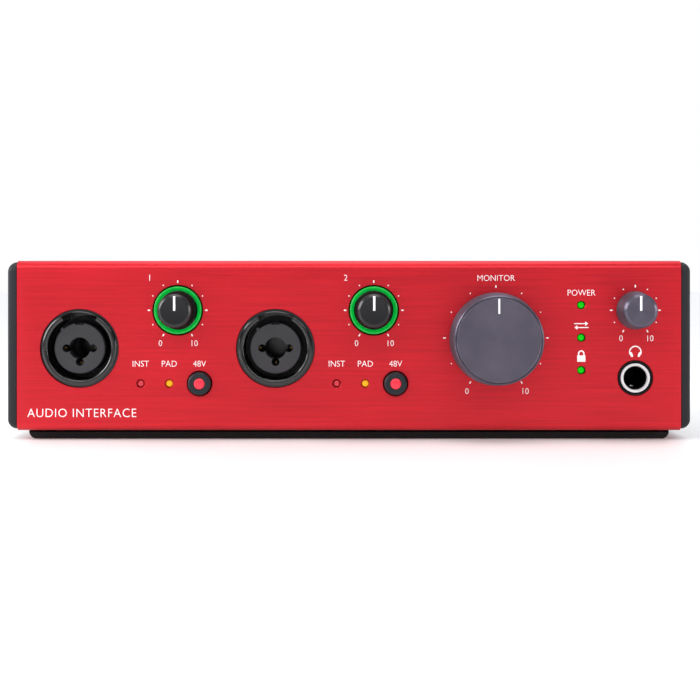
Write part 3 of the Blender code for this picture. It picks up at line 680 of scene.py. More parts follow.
def make_insert(n, centre):
    """The round insert: jack bore, three contact holes that run into it, a keyed top and a side lug."""
    radius, face, back = INSERT_RADIUS, INSERT_FACE, -0.0149
    bore, flange, flange_front = 0.0033, 0.0095, -0.0129
    profile = [(bore, back), (bore, face, 0.0002), (radius - 0.00025, face, 0.0001)]
    profile += [(radius, face - 0.0003, 0.0001), (radius, flange_front)]
    profile += [(flange, flange_front), (flange, back)]
    insert = lathe(f"insert_face_{n}", profile, centre, FACING_FRONT, INSERT, 96)
    pin, pin_flare = 0.0012, 0.0022
    pin_hole = [(0.0, 0.002), (pin + pin_flare, 0.002), (pin, face - 0.0001), (pin, -0.016), (0.0, -0.016)]
    cutters = []
    for x, z in ((-0.0041, 0.0), (0.0041, 0.0), (0.0, -0.0042)):
        cutters.append(lathe("cutter", pin_hole, centre + Vector((x, 0, z)), FACING_FRONT, steps=32))
    for x in (-0.0009, 0.0, 0.0009):
        key = centre + Vector((x, 0, radius - 0.0001))
        cutters.append(drill(key, FACING_FRONT, 0.00058, 0.005, 24))
    carve(insert, *cutters)
    lug_angle, lug_radius = radians(133), 0.0006
    spot = centre + Vector((radius * cos(lug_angle), 0.0, radius * sin(lug_angle)))
    lug_profile = [(0.0, face - 0.00005), (lug_radius, face - 0.0001, 0.0003)]
    lug_profile += [(lug_radius, -0.008), (0.0, -0.008)]
    weld(insert, lathe("lug", lug_profile, spot, FACING_FRONT, steps=24))
    take(insert, CASE, "black_plastic", f"combo_insert_{n}")
    make_contacts(n, centre)


def make_contacts(n, centre):
    """Three gold contact springs that show in the pin holes, and their carrier ring."""
    inner, outer, front, back = 0.0034, 0.0070, -0.0153, -0.0173
    profile = [(inner, front), (outer, front), (outer, back), (inner, back)]
    carrier = lathe(f"contact_carrier_{n}", profile, centre, FACING_FRONT, BLACK, 48)
    take(carrier, CASE, "black_plastic")
    outer, inner, tip, root = 0.00035, 0.0002, -0.0055, -0.0155
    tube = [(outer, tip, 0.0001), (outer, root), (inner, root), (inner, tip, 0.0001)]
    for label, x, z in (("left", -0.0049, 0.0), ("right", 0.0046, 0.0), ("low", 0.0, -0.0047)):
        spot = centre + Vector((x, 0, z))
        contact = lathe(f"contact_{label}_{n}", tube, spot, FACING_FRONT, GOLD, 24)
        take(contact, CASE, "gold")
        if label == "left":
            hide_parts(f"combo_contacts_{n}")


# Knobs

def knob_size(node):
    """A knob's radius, and the heights of its face and its foot above the panel."""
    low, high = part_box(node)
    return (high.x - low.x) / 2, FRONT_Y - low.y, FRONT_Y - high.y


def knob_underside(height, foot):
    return [(BOSS_RADIUS, foot), (BOSS_RADIUS, height - CAP_THICKNESS), (0.0, height - CAP_THICKNESS)]


def small_knob_profile(node):
    """Slightly dished face, a wide rounded shoulder and a skirt that widens towards the panel."""
    radius, height, foot = knob_size(node)
    face, shoulder = 0.0042, 0.0052
    profile = [(0.0, height - 0.00012), (face - 0.0010, height - 0.00008), (face, height, 0.0002)]
    profile += [(shoulder, height - 0.0009, 0.0006), (radius - 0.0004, foot + 0.0030, 0.0018)]
    return profile + [(radius - 0.0001, foot, 0.0002)] + knob_underside(height, foot)


def monitor_knob_profile(node):
    """Dished face inside a fine groove, then a bevelled rim and a straight wall."""
    radius, height, foot = knob_size(node)
    face, bevel, dish, groove = 0.0128, 0.0008, 0.00015, 0.0005
    profile = [(0.0, height - dish), (face - 0.0003, height - dish, 0.0001), (face - 0.0001, height, 0.0001)]
    profile += [(face, height - groove), (face + 0.0002, height - groove), (face + 0.0003, height - 0.00025)]
    profile += [(face + bevel, height - bevel, 0.0003), (radius, foot + 0.0008, 0.0008)]
    return profile + [(radius, foot, 0.0002)] + knob_underside(height, foot)


def knob_line(profile, inner, outer):
    """The points of a knob's face between two radii, from its middle outwards."""
    curve = softened(profile)
    points = []
    for (r0, h0), (r1, h1) in zip(curve, curve[1:]):
        if r1 <= r0:
            break
        for r in (r0, r1):
            if inner <= r <= outer:
                points.append((r, h0 + (h1 - h0) * (r - r0) / (r1 - r0)))
        for r in (inner, outer):
            if r0 < r < r1:
                points.append((r, h0 + (h1 - h0) * (r - r0) / (r1 - r0)))
    points.sort()
    return [p for i, p in enumerate(points) if i == 0 or p[0] - points[i - 1][0] > TINY]


def make_pointer(name, centre, points, width, body):
    """A white line let into a knob's face, through (radius, height) points."""
    depth = 0.0002
    section = ((-width / 2, -depth), (-width / 2, INK), (width / 2, INK), (width / 2, -depth))
    solid = bmesh.new()
    rings = []
    for radius, height in points:
        rings.append([solid.verts.new((x, radius, height + lift)) for x, lift in section])
    loft(solid, rings)
    matrix = Matrix.Translation(centre) @ FACING_FRONT
    take(moulding(name, solid, matrix, POINTER), body, None)


def make_small_knob(node, body, material, slot):
    centre = front_of(node)
    profile = small_knob_profile(node)
    take(lathe(node + "_cap", profile, centre, FACING_FRONT, material, 96), body, slot, node)
    make_pointer(node + "_pointer", centre, knob_line(profile, 0.0001, 0.0045), 0.00066, body)


def make_monitor_knob():
    node, body = "monitor_knob", "monitor_control"
    centre = front_of(node)
    cap = lathe(node + "_cap", monitor_knob_profile(node), centre, FACING_FRONT, GREY_METAL, 160)
    take(cap, body, "grey_metal", node)
    height = knob_size(node)[1] - 0.00015
    make_pointer(node + "_pointer", centre, [(0.0080, height), (0.0126, height)], 0.00055, body)


def make_knobs():
    for n in CHANNELS:
        make_small_knob(f"gain_knob_{n}", f"gain_control_{n}", KNOB_BLACK, "black_knob")
    make_small_knob("phones_knob", "phones_control", GREY_METAL, "grey_metal")
    make_monitor_knob()


def make_halo(n):
    """The lit ring round a gain knob: a soft-topped green moulding set in a darker carrier, whose dim green
    is painted glow of the ring.
    """
    centre = front_of(f"halo_ring_{n}")
    step, lip, inner, flange, bottom = 0.0070, -0.0004, 0.0061, 0.0088, -0.0033
    profile = [(HALO_RADIUS, lip), (HALO_RADIUS, 0.0004, 0.0003), (0.0068, 0.0005, 0.0003)]
    profile += [(inner, 0.0001, 0.0003), (inner, bottom), (step, bottom), (step, lip)]
    ring = lathe(f"halo_light_{n}", profile, centre, FACING_FRONT, GREEN_RING, 128)
    take(ring, CASE, "green_light", f"halo_ring_{n}")
    inner, top = step + HAIRLINE, lip - HAIRLINE
    profile = [(HALO_RADIUS, top), (inner, top), (inner, bottom), (flange, bottom)]
    profile += [(flange, BEHIND_SHELL), (HALO_RADIUS, BEHIND_SHELL)]
    carrier = lathe(f"halo_carrier_{n}", profile, centre, FACING_FRONT, GREEN_SLEEVE, 96)
    take(carrier, CASE, "green_light")


# Buttons, lights and the phones jack

def make_button(n):
    """A phantom-power button: a round cap on a stem, with a domed red lens let into its face."""
    node, body = f"phantom_button_{n}", f"phantom_key_{n}"
    centre = front_of(node)
    radius, proud, _ = knob_size(node)
    lens = radius_of(f"phantom_lens_{n}")
    shelf, shoulder, bottom, stem, stem_end = 0.0007, proud - 0.0006, -0.0040, 0.0015, -0.0080
    profile = [(0.0, shelf), (lens + HAIRLINE, shelf), (lens + HAIRLINE, proud - 0.0001, 0.00012)]
    profile += [(radius - 0.0005, proud, 0.0004), (radius, shoulder, 0.0004), (radius, bottom, 0.0002)]
    profile += [(stem, bottom), (stem, stem_end), (0.0, stem_end)]
    take(lathe(f"button_cap_{n}", profile, centre, FACING_FRONT, BUTTON, 96), body, "button_plastic", node)
    dome = proud + 0.0001
    profile = [(0.0, dome), (lens * 0.7, dome - 0.00008, 0.0003), (lens, dome - 0.0003, 0.0002)]
    profile += [(lens, 0.0010), (0.0, 0.0010)]
    cap = lathe(f"button_lens_{n}", profile, centre, FACING_FRONT, RED_LENS, 64)
    take(cap, body, "red_light", f"phantom_lens_{n}")


def make_light(name, centre, material, sleeve_material, slot):
    """The domed end of a light pipe, just below the panel, in a thin sleeve tinted with painted glow of its
    light.
    """
    dome, radius, end = -0.0003, 0.00098, -0.0118
    profile = [(0.0, dome), (radius * 0.6, dome - 0.00008, 0.0003), (radius, dome - 0.00035, 0.0002)]
    profile += [(radius, end), (0.0, end)]
    lens = lathe(name, profile, centre, FACING_FRONT, material, 48)
    wall, bore, bottom = LED_HOLE_RADIUS - HAIRLINE / 2, radius + HAIRLINE / 4, -0.0024
    profile = [(wall, -0.0005), (wall, bottom), (bore, bottom), (bore, -0.0007)]
    rim = lathe(name + "_sleeve", profile, centre, FACING_FRONT, sleeve_material, 48)
    take(rim, CASE, slot)
    return take(lens, CASE, slot)


def make_lights():
    for n in CHANNELS:
        unlit, amber = pin_places(f"channel_light_pipe_{n}")
        make_light(f"instrument_light_{n}", unlit, DARK_LED, RED_SLEEVE, "red_light")
        piece = make_light(f"pad_light_{n}", amber, AMBER_LED, AMBER_SLEEVE, "amber_light")
        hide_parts(f"channel_light_pipe_{n}")
    for label, place in zip(("power", "data", "lock"), pin_places("status_light_pipe")):
        piece = make_light(f"{label}_light", place, GREEN_LED, GREEN_SLEEVE, "green_light")
        if label == "power":
            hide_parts("status_light_pipe")


def make_phones_jack():
    """The phones socket: black collar, bright bevelled sleeve and a dark bore with a contact in it."""
    centre = front_of("phones_jack_sleeve")
    bore, bottom, back, body_radius, ledge = 0.0034, -0.0275, -0.0285, 0.0052, -0.0012
    profile = [(COLLAR_RADIUS, BEHIND_SHELL), (COLLAR_RADIUS, 0.0002, 0.0002), (0.00475, 0.0, 0.0002)]
    profile += [(0.0047, ledge), (bore, ledge), (bore, bottom), (0.0, bottom)]
    profile += [(0.0, back), (body_radius, back), (body_radius, BEHIND_SHELL)]
    collar = lathe("phones_collar", profile, centre, FACING_FRONT, BLACK, 96)
    take(collar, CASE, "black_plastic")
    make_block("phones_body", "phones_jack", centre, FACING_FRONT, 0.0053, 0.0288)
    outer, inner, sleeve_back = 0.0045, 0.0036, -0.0011
    profile = [(outer, 0.0001, 0.0002), (outer, sleeve_back), (inner, sleeve_back)]
    profile += [(inner, -0.0003, 0.0002), (inner + 0.0003, 0.0001, 0.0002)]
    ring = lathe("phones_sleeve", profile, centre, FACING_FRONT, SATIN_SILVER, 96)
    take(ring, CASE, "nickel", "phones_jack_sleeve")
    near, far = Vector((-0.0007, 0.0085, -0.0031)), Vector((0.0007, 0.0140, -0.0027))
    take(brick("phones_contact", centre + near, centre + far, NICKEL, 0.00012), CASE, "nickel")


# Printed marks

def flat_text(text, x, z, height=WORD_HEIGHT, spacing=1.0, align="CENTER"):
    """Plain capitals and figures of a given height, as a thin printed layer on the front."""
    font = bpy.data.curves.new("words", "FONT")
    font.body = text
    font.size = 1.0
    font.align_x = align
    font.space_character = spacing
    font.offset = -0.01
    font.resolution_u = 3
    maker = bpy.data.objects.new("words", font)
    bpy.context.scene.collection.objects.link(maker)
    graph = bpy.context.evaluated_depsgraph_get()
    mesh = bpy.data.meshes.new_from_object(maker.evaluated_get(graph), depsgraph=graph)
    bpy.data.objects.remove(maker, do_unlink=True)
    solid = bmesh.new()
    solid.from_mesh(mesh)
    top = max(v.co.y for v in solid.verts)
    low = min(v.co.y for v in solid.verts)
    scale = height / (top - low)
    bmesh.ops.translate(solid, verts=solid.verts[:], vec=(0.0, -(top + low) / 2, 0.0))
    bmesh.ops.scale(solid, verts=solid.verts[:], vec=(NARROW * scale, scale, 1.0))
    bmesh.ops.remove_doubles(solid, verts=solid.verts[:], dist=TINY)
    extrude(solid, solid.faces[:], (0.0, 0.0, INK))
    matrix = Matrix.Translation(on_front(x, z)) @ FACING_FRONT
    bmesh.ops.transform(solid, matrix=matrix, verts=solid.verts[:])
    return solid


def ribbon(points, width, level=INK):
    """A printed line of even width through (x, z) points, with round ends and mitred corners."""
    points = [Vector(p) for p in points]
    along = [(b - a).normalized() for a, b in zip(points, points[1:])]
    left, right = [], []
    for i, point in enumerate(points):
        before, after = along[max(i - 1, 0)], along[min(i, len(along) - 1)]
        across = Vector((-(before + after).y, (before + after).x)).normalized()
        reach = width / 2 / max(0.3, across.dot(Vector((-after.y, after.x))))
        left.append(point + across * reach)
        right.append(point - across * reach)
    caps = []
    for point, outward in ((points[-1], along[-1]), (points[0], -along[0])):
        turn = Vector((outward.y, -outward.x))
        angles = [pi * k / 10 for k in range(1, 10)]
        caps.append([point + (outward * sin(a) - turn * cos(a)) * width / 2 for a in angles])
    return flat_shape(left + caps[0] + right[::-1] + caps[1], level)


def flat_shape(outline, level=INK):
    """A flat polygon of print, through (x, z) points, standing a hair proud of the front."""
    solid = bmesh.new()
    lower = [solid.verts.new(on_front(x, z)) for x, z in outline]
    upper = [solid.verts.new(v.co - Vector((0.0, level, 0.0))) for v in lower]
    loft(solid, [lower, upper])
    return solid


def scale_marks(x, z, radius):
    """Eleven marks over 300 degrees: short dashes at the ends, middle and sides, and dots between."""
    half_dash, width, dot = 0.00022, 0.0004, 0.0002
    marks = []
    for turn in range(-150, 151, 30):
        a = radians(90 - turn)
        if turn in (-150, -90, 0, 90, 150):
            ends = [(x + r * cos(a), z + r * sin(a)) for r in (radius - half_dash, radius + half_dash)]
            marks.append(ribbon(ends, width))
        else:
            spot_x, spot_z = x + radius * cos(a), z + radius * sin(a)
            marks.append(flat_shape(arc_points(spot_x, spot_z, dot, 0, 345, 23)))
    return marks


def join_print(name, solids):
    """One printed piece from several thin shapes."""
    whole = bmesh.new()
    for solid in solids:
        part = bpy.data.meshes.new("part")
        solid.to_mesh(part)
        solid.free()
        whole.from_mesh(part)
        bpy.data.meshes.remove(part)
    take(moulding(name, whole, Matrix.Identity(4), PRINT), CASE, None)


def make_print():
    """Numbers, scale marks, short words and plain symbols on the front panel."""
    # A dial's centre, the radius of its scale, the places of 0 and 10 beside it and their drop below it
    monitor = front_of("monitor_knob") + Vector((0.0, 0.0, 0.0003))
    phones = front_of("phones_knob")
    gains = [front_of(f"gain_knob_{n}") for n in CHANNELS]
    dials = [(gain, 0.0088, -0.0053, 0.0050, 0.0101) for gain in gains]
    dials += [(monitor, 0.0158, -0.0089, 0.0089, 0.0163), (phones, 0.0074, -0.0044, 0.0044, 0.0086)]
    scales, words = [], []
    for place, radius, zero, ten, drop in dials:
        scales += scale_marks(place.x, place.z, radius)
        words.append(flat_text("0", place.x + zero, place.z - drop))
        words.append(flat_text("10", place.x + ten, place.z - drop))
    for n, gain in zip(CHANNELS, gains):
        words.append(flat_text(str(n), gain.x - 0.0086, gain.z + 0.0100))
        unlit, amber = pin_places(f"channel_light_pipe_{n}")
        for text, place in (("INST", unlit), ("PAD", amber), ("48V", front_of(f"phantom_button_{n}"))):
            words.append(flat_text(text, place.x, place.z + 0.0061))
    power, data, lock = pin_places("status_light_pipe")
    words.append(flat_text("MONITOR", monitor.x, monitor.z + 0.0184))
    words.append(flat_text("POWER", power.x, power.z + 0.0038))
    words.append(flat_text("AUDIO INTERFACE", -0.0988, 0.0083, 0.0026, 1.1, "LEFT"))
    signs = data_sign(data.x, data.z + 0.0037) + padlock_sign(lock.x, lock.z + 0.0042)
    signs += headphones_sign(phones.x, front_of("phones_jack_sleeve").z + 0.0080)
    join_print("printed_scales", scales)
    join_print("printed_words", words)
    join_print("printed_signs", signs)


def data_sign(x, z):
    """Two opposed arrows: data in and out."""
    half, rise, head, width = 0.0021, 0.0006, 0.0007, 0.0003
    shapes = []
    for side in (1, -1):
        level, tip = z + side * rise, x + side * half
        neck = tip - side * 0.0009
        shapes.append(ribbon([(x - side * half, level), (neck, level)], width))
        shapes.append(flat_shape([(neck, level + head), (tip, level), (neck, level - head)], 1.3 * INK))
    return shapes


def padlock_sign(x, z):
    """A padlock: a filled body under a round bow."""
    half, top = 0.00125, 0.00035
    body = [(x - half, z - 0.0016), (x + half, z - 0.0016), (x + half, z + top), (x - half, z + top)]
    bow = [(x - 0.0008, z + top)] + arc_points(x, z + 0.0009, 0.0008, 180, 0) + [(x + 0.0008, z + top)]
    return [flat_shape(body, 1.3 * INK), ribbon(bow, 0.00042)]


def headphones_sign(x, z):
    """Headphones: a wide arc with a pad at each end."""
    shapes = [ribbon(arc_points(x, z, 0.00175, 205, -25, 24), 0.00035)]
    for side in (-1, 1):
        ends = [(x + side * 0.00135, z - 0.0004), (x + side * 0.00105, z - 0.0012)]
        shapes.append(ribbon(ends, 0.0007, 1.3 * INK))
    return shapes


# The back

REAR_Z = middle("usb_port").z


def rear_centre(node):
    """Where a connector's axis meets the rear panel, on the line that all the sockets share."""
    return on_back(middle(node).x, REAR_Z)


def make_rear_panel():
    """The painted steel panel, with a broken edge round every connector's hole."""
    low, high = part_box("rear_panel")
    panel = brick("rear_plate", low, high, PANEL_PAINT)
    cutters = []
    for n in LINE_OUTPUTS:
        cutters.append(chamfered_hole(back_of(f"line_jack_{n}"), FACING_BACK, LINE_HOLE_RADIUS))
    for node in ("midi_in_socket", "midi_out_socket"):
        cutters.append(chamfered_hole(rear_centre(node), FACING_BACK, MIDI_HOLE_RADIUS))
    cutters.append(chamfered_hole(rear_centre("dc_inlet"), FACING_BACK, INLET_HOLE_RADIUS))
    spread = Vector((0.0001, 0.01, 0.0001))
    for node in ("usb_port", "optical_port"):
        box_low, box_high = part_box(node)
        cutters.append(brick("cutter", box_low - spread, box_high + spread))
    switch, reach = middle("power_switch_housing"), Vector((0.0071, 0.02, 0.0101))
    cutters.append(brick("cutter", switch - reach, switch + reach))
    for n in REAR_SCREWS:
        cutters.append(chamfered_hole(back_of(f"rear_screw_{n}"), FACING_BACK, SCREW_HOLE_RADIUS))
    carve(panel, *cutters)
    take(panel, CASE, "black_steel", "rear_panel")


def make_line_output(n):
    """A jack with a grooved barrel, a chamfered hexagonal nut on a washer, and a deep bore."""
    node = f"line_jack_{n}"
    centre = rear_centre(f"line_jack_nut_{n}")
    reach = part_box(node)[1].y - PANEL_Y
    thread, pitch, depth, bore, skirt = 0.0045, 0.0005, 0.00018, 0.00335, 0.0074
    profile = [(bore, -0.0260), (bore, reach - 0.0003, 0.0002), (0.0037, reach, 0.0002)]
    profile += [(0.0043, reach, 0.0002)]
    for k in range(int((reach - 0.0030) / pitch)):
        top = reach - 0.0004 - k * pitch
        profile += [(thread, top), (thread - depth, top - pitch / 2)]
    profile += [(thread, 0.0025), (thread, -0.0030), (skirt, -0.0030), (skirt, -0.0262)]
    barrel = lathe(f"line_barrel_{n}", profile, centre, FACING_BACK, BLACK, 72)
    take(barrel, CASE, "black_plastic")
    make_block(f"line_block_{n}", node, centre, FACING_BACK, skirt + 0.0001, 0.0265, 0.0005)
    make_nut(n, centre)
    washer = [(0.0064, 0.00002), (0.0064, 0.0005, 0.0001), (0.0046, 0.0005, 0.0001), (0.0046, 0.00002)]
    take(lathe(f"washer_{n}", washer, centre, FACING_BACK, NICKEL, 72), CASE, "nickel")


def make_nut(n, centre):
    """A hexagonal nut whose outer corners are turned off."""
    corners = radius_of(f"line_jack_nut_{n}")
    seat, thickness, beyond = 0.0006, 0.0022, corners + 0.0002
    matrix = Matrix.Translation(centre) @ FACING_BACK @ Matrix.Translation((0, 0, seat))
    nut = prism("nut", arc_points(0.0, 0.0, corners, 0, 300, 5), thickness, matrix, NICKEL)
    dome = [(0.0, 0.0029), (corners * 0.87, 0.0028, 0.0002), (beyond, 0.0021)]
    dome += [(beyond, -0.001), (0.0, -0.001)]
    combine(nut, [lathe("cutter", dome, centre, FACING_BACK)], "INTERSECT")
    top = centre + Vector((0, seat + thickness, 0))
    carve(nut, chamfered_hole(top, FACING_BACK, LINE_HOLE_RADIUS, 0.0003, 0.006))
    nut.name = f"nut_{n}"
    take(nut, CASE, "nickel", f"line_jack_nut_{n}")


def make_midi(node):
    """A round five-pin socket: metal shell ring, keyed groove and five holes in a half circle."""
    centre = rear_centre(node)
    rim, outer, inner, flange = 0.0075, 0.0068, 0.0057, 0.0082
    groove_end, bottom = -0.0070, -0.0100
    profile = [(rim, BEHIND_SHELL), (rim, 0.0004, 0.0002), (outer, 0.0003, 0.0001), (outer, groove_end)]
    profile += [(inner, groove_end), (inner, -0.0002, 0.0002), (0.0, -0.0002), (0.0, bottom)]
    profile += [(flange, bottom), (flange, BEHIND_SHELL)]
    face = lathe(node + "_face", profile, centre, FACING_BACK, BLACK, 96)
    cutters = []
    for x, z in arc_points(0.0, 0.0, 0.00375, 0, 180, 4):
        pin = centre + Vector((x, 0.0, z))
        cutters.append(chamfered_hole(pin, FACING_BACK, 0.00075, 0.0002, 0.0080, 24))
    key = centre + Vector((0, 0, -0.0060))
    cutters.append(chamfered_hole(key, FACING_BACK, 0.0009, 0.0001, 0.0070, 24))
    carve(face, *cutters)
    take(face, CASE, "black_plastic")
    make_block(node + "_block", node, centre, FACING_BACK, flange + 0.0001, 0.0102)
    outer, inner, end = 0.00675, 0.0065, -0.0065
    ring = [(outer, 0.0001, 0.00005), (outer, end), (inner, end), (inner, 0.0001, 0.00005)]
    take(lathe(node + "_liner", ring, centre, FACING_BACK, NICKEL, 96), CASE, "nickel")


def make_power_inlet():
    """A barrel inlet with a flared mouth and a round centre pin."""
    centre = rear_centre("dc_inlet")
    rim, flange, bottom, back = 0.0046, 0.0052, -0.0100, -0.0110
    profile = [(rim, BEHIND_SHELL), (rim, 0.0006, 0.0004), (0.0033, 0.0005, 0.0002), (0.0031, bottom)]
    profile += [(0.0, bottom), (0.0, back), (flange, back), (flange, BEHIND_SHELL)]
    take(lathe("power_inlet_mouth", profile, centre, FACING_BACK, BLACK, 72), CASE, "black_plastic")
    pin, root = 0.0009, bottom + 0.0001
    profile = [(0.0, -0.0004), (pin, -0.0008, 0.0003), (pin, root), (0.0, root)]
    take(lathe("power_inlet_pin", profile, centre, FACING_BACK, NICKEL, 32), CASE, "nickel")
    make_block("power_inlet_block", "dc_inlet", centre, FACING_BACK, flange + 0.0001, 0.0112)


def stadium(half_width, half_height):
    """A slot outline with round ends."""
    right = arc_points(half_width - half_height, 0.0, half_height, -90, 90, 10)
    return right + [(-x, -y) for x, y in right]


def make_usb_port():
    """A small reversible data socket: stadium shell, tongue and gold pads."""
    low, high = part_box("usb_port")
    centre = (low + high) / 2
    depth = high.y - low.y
    matrix = Matrix.Translation((centre.x, low.y, centre.z)) @ FACING_BACK
    shell = prism("usb_shell", stadium(0.00455, 0.0017), depth, matrix, NICKEL, 0.0001)
    inner = Matrix.Translation((centre.x, low.y + 0.0030, centre.z)) @ FACING_BACK
    carve(shell, prism("cutter", stadium(0.0042, 0.00135), depth, inner))
    take(shell, CASE, "nickel", "usb_port")
    half_width, half_height = 0.0033, 0.00035
    near = (centre.x - half_width, low.y + 0.0025, centre.z - half_height)
    far = (centre.x + half_width, high.y - 0.0008, centre.z + half_height)
    take(brick("usb_tongue", near, far, BLACK, 0.0001, 2), CASE, "black_plastic")
    pads, pitch, half_pad = 6, 0.001, 0.0002
    for k in range(pads):
        x = centre.x - 0.0025 + pitch * k
        near = (x - half_pad, high.y - 0.0045, centre.z + 0.00034)
        far = (x + half_pad, high.y - 0.0012, centre.z + 0.0004)
        take(brick(f"usb_pad_{k}", near, far, GOLD, 0.00002, 1), CASE, "gold")


def make_optical_port():
    """A square optical socket behind a small dished flap."""
    low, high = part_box("optical_port")
    surround = brick("optical_frame", low, high, BLACK, 0.0004, 3)
    flap_low, flap_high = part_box("optical_shutter")
    clear, back_wall, past = Vector((0.00028, 0, 0.00028)), 0.003, 0.002
    near = Vector((flap_low.x, low.y + back_wall, flap_low.z)) - clear
    far = Vector((flap_high.x, high.y + past, flap_high.z)) + clear
    carve(surround, brick("cutter", near, far))
    take(surround, CASE, "black_plastic", "optical_port")
    flap = brick("optical_flap_leaf", flap_low, flap_high, BLACK, 0.00015, 3)
    margin, top_margin, dish = 0.0012, 0.0016, 0.0002
    near = (flap_low.x + margin, flap_high.y - dish, flap_low.z + margin)
    far = (flap_high.x - margin, flap_high.y + 0.001, flap_high.z - top_margin)
    carve(flap, brick("cutter", near, far, None, 0.0001))
    place = middle("optical_shutter")
    profile = [(0.0, 0.00005), (0.0013, 0.0, 0.0002), (0.0013, -0.0004), (0.0, -0.0004)]
    weld(flap, lathe("nub", profile, Vector((place.x, flap_high.y, place.z)), FACING_BACK, None, 32))
    take(flap, "optical_flap", "black_plastic", "optical_shutter")


def make_power_switch():
    """The rocker switch's bezel and body, with the well that the rocker tilts in."""
    low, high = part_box("power_switch_housing")
    place = (low + high) / 2
    near, far = (low.x, PANEL_Y + 0.00004, low.z), (high.x, high.y, high.z)
    bezel = brick("switch_bezel", near, far, BLACK, 0.0006, 4)
    half, half_height, rim = 0.0070, 0.0100, 0.0004
    near = (place.x - half, low.y, place.z - half_height)
    far = (place.x + half, high.y - rim, place.z + half_height)
    weld(bezel, brick("body", near, far))
    half, half_height, well_floor, outside = radius_of("power_rocker") + SEAM, 0.0092, 0.0680, 0.09
    near = (place.x - half, well_floor, place.z - half_height)
    far = (place.x + half, outside, place.z + half_height)
    carve(bezel, brick("cutter", near, far))
    take(bezel, CASE, "black_plastic", "power_switch_housing")


def make_rocker():
    """The rocker: two shallow dished pads that meet at a ridge, with the usual line and circle."""
    joint = next(j for j in frame["joints"] if j["name"] == "power_rock")
    pivot = Vector(joint["pos_m"])
    tilt = radians(joint["range_deg"][1] / 2)
    half, half_height, ridge, dish, steps = radius_of("power_rocker"), 0.0082, 0.0060, 0.00035, 12

    def pad_point(side, t):
        """A point (y, z) on the upper or lower pad, a share t of the way out from the ridge."""
        return ridge - half_height * t * sin(tilt) - dish * sin(pi * t), side * half_height * t

    outline = [pad_point(1, k / steps) for k in range(steps + 1)]
    outline += [(-0.0010, half_height - 0.0012), (-0.0030, 0.0), (-0.0010, -half_height + 0.0012)]
    outline += [pad_point(-1, k / steps) for k in range(steps, 0, -1)]
    solid = bmesh.new()
    turn = Matrix.Rotation(tilt, 2)
    points = [turn @ Vector(p) for p in outline]
    face = solid.faces.new([solid.verts.new((-half, p.x, p.y)) for p in points])
    extrude(solid, [face], (2 * half, 0.0, 0.0))
    rims = [e for e in solid.edges if abs(e.verts[0].co.x - e.verts[1].co.x) < TINY]
    round_edges(solid, rims, 0.0003, 3)
    rocker = moulding("rocker_cap", solid, Matrix.Translation(pivot), GLOSS_BLACK, 30)
    take(rocker, "power_key", "black_plastic", "power_rocker")
    for label, side in (("on", 1), ("off", -1)):
        spot = turn @ Vector(pad_point(side, 0.55))
        place = Matrix.Translation(pivot + Vector((0.0, spot.x, spot.y)))
        lean = Matrix.Rotation(tilt + side * tilt, 4, "X")
        make_rocker_mark(label, place @ lean @ FACING_BACK)


def make_rocker_mark(label, matrix):
    """A line for on, a circle for off."""
    if label == "on":
        half_width, half_length, half_depth = 0.0002, 0.0013, 0.00021
        far = Vector((half_width, half_length, half_depth))
        mark = brick("mark", -far, far, PRINT, 0.00002, 1)
    else:
        outer, inner, proud, sunk = 0.0013, 0.0010, 0.00012, -0.0003
        ring = [(outer, proud), (outer, sunk), (inner, sunk), (inner, proud)]
        mark = lathe("mark", ring, Vector(), Matrix.Identity(4), PRINT, 48)
    mark.matrix_world = matrix
    mark.name = f"rocker_mark_{label}"
    take(mark, "power_key", None)


def make_rear_screw(n):
    """A pan-head screw with a crossed recess."""
    centre = back_of(f"rear_screw_{n}")
    head, shank, seat, end = 0.0027, 0.0015, 0.00002, -0.0055
    profile = [(0.0, 0.0018), (0.0016, 0.0017, 0.0005), (head, 0.0010, 0.0005), (head, seat)]
    profile += [(shank, seat), (shank, end), (0.0, end)]
    screw = lathe(f"screw_{n}", profile, centre, FACING_BACK, PANEL_PAINT, 48)
    slots = []
    for wide, tall in ((0.0013, 0.00028), (0.00028, 0.0013)):
        near, far = Vector((-wide, 0.0007, -tall)), Vector((wide, 0.003, tall))
        slots.append(brick("cutter", centre + near, centre + far))
    carve(screw, *slots)
    take(screw, CASE, "black_steel", f"rear_screw_{n}")


def dress_inner_parts():
    """Materials for the pieces kept from the CAD model, all inside the case."""
    for node, obj in frame["nodes"].items():
        if obj.hide_render:
            continue
        if node in ("main_board", "front_board"):
            material = BOARD
        elif node == "chassis_tray" or "_pot" in node or "_shaft" in node:
            material = ZINC
        else:
            material = BLACK
        obj.data.materials.clear()
        obj.data.materials.append(material)


# Floor, light and camera

def make_stage():
    """A plain white floor with a soft gloss."""
    solid = bmesh.new()
    bmesh.ops.create_grid(solid, x_segments=1, y_segments=1, size=4.0)
    finish = Finish("white_floor", (0.9, 0.9, 0.9), 0.3)
    finish.use(Roughness=finish.span(finish.noise(12.0), 0.26, 0.34))
    placed("floor", solid, Matrix.Identity(4), finish.material)


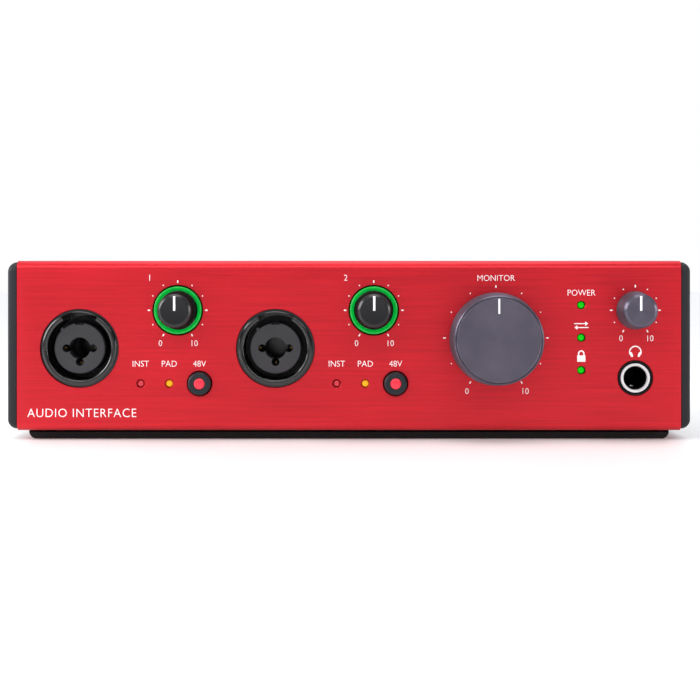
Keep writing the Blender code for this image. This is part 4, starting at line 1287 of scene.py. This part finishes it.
def make_world():
    """A white surround for the eye; for light and reflections, a dim room and a bright backdrop behind."""
    world = bpy.data.worlds.new("studio")
    bpy.context.scene.world = world
    tree = NodeTree(world)
    seen = tree.fill(tree.nodes["Background"], {"Color": (1.0, 1.0, 1.0), "Strength": 1.0})
    direction = tree.node("SeparateXYZ", Vector=tree.node("TexCoord").outputs["Generated"])
    level = tree.span(direction.outputs["Y"], AMBIENT, BACKDROP, -0.15, 0.35)
    felt = tree.node("Background", Color=(0.95, 0.96, 1.0), Strength=level)
    either = tree.node("MixShader", Fac=tree.node("LightPath").outputs["Is Camera Ray"])
    tree.links.new(felt.outputs["Background"], either.inputs[1])
    tree.links.new(seen.outputs["Background"], either.inputs[2])
    tree.links.new(either.outputs["Shader"], tree.nodes["World Output"].inputs["Surface"])
    bpy.context.scene.view_settings.view_transform = "Standard"


def make_lamps():
    """A broad overhead light that falls evenly on the whole floor, and three softboxes in front."""
    sky = bpy.data.lights.new("overhead", "SUN")
    sky.energy = 1.4
    sky.angle = radians(42)
    bpy.context.scene.collection.objects.link(bpy.data.objects.new("overhead", sky))
    for name, place, aim, width, height, power in LAMPS:
        data = bpy.data.lights.new(name, "AREA")
        data.shape = "RECTANGLE"
        data.size = width
        data.size_y = height
        data.energy = power
        lamp = bpy.data.objects.new(name, data)
        lamp.location = place
        lamp.rotation_euler = (Vector(aim) - Vector(place)).to_track_quat("-Z", "Y").to_euler()
        bpy.context.scene.collection.objects.link(lamp)


def make_camera():
    """Level with the top of the case and square to its front, with the frame shifted down to centre it."""
    distance, field, eye_z, aim_z = 0.600, 0.2149, 0.0522, 0.0276
    data = bpy.data.cameras.new("camera")
    data.sensor_width = 36.0
    data.lens = 36.0 * distance / field
    data.shift_y = (aim_z - eye_z) / field
    data.clip_start = 0.01
    camera = bpy.data.objects.new("camera", data)
    camera.location = (0.0003, FRONT_Y - distance, eye_z)
    camera.rotation_euler = (pi / 2, 0.0, 0.0)
    bpy.context.scene.collection.objects.link(camera)
    bpy.context.scene.camera = camera


make_shell()
make_cheek("left_cheek", -1)
make_cheek("right_cheek", 1)
make_foot("front_foot")
make_foot("rear_foot")
for channel in CHANNELS:
    make_combo(channel)
    make_halo(channel)
    make_button(channel)
make_knobs()
make_lights()
make_phones_jack()
make_print()
make_rear_panel()
for output in LINE_OUTPUTS:
    make_line_output(output)
make_midi("midi_in_socket")
make_midi("midi_out_socket")
make_power_inlet()
make_usb_port()
make_optical_port()
make_power_switch()
make_rocker()
for screw in REAR_SCREWS:
    make_rear_screw(screw)
dress_inner_parts()
make_stage()
make_world()
make_lamps()
make_camera()
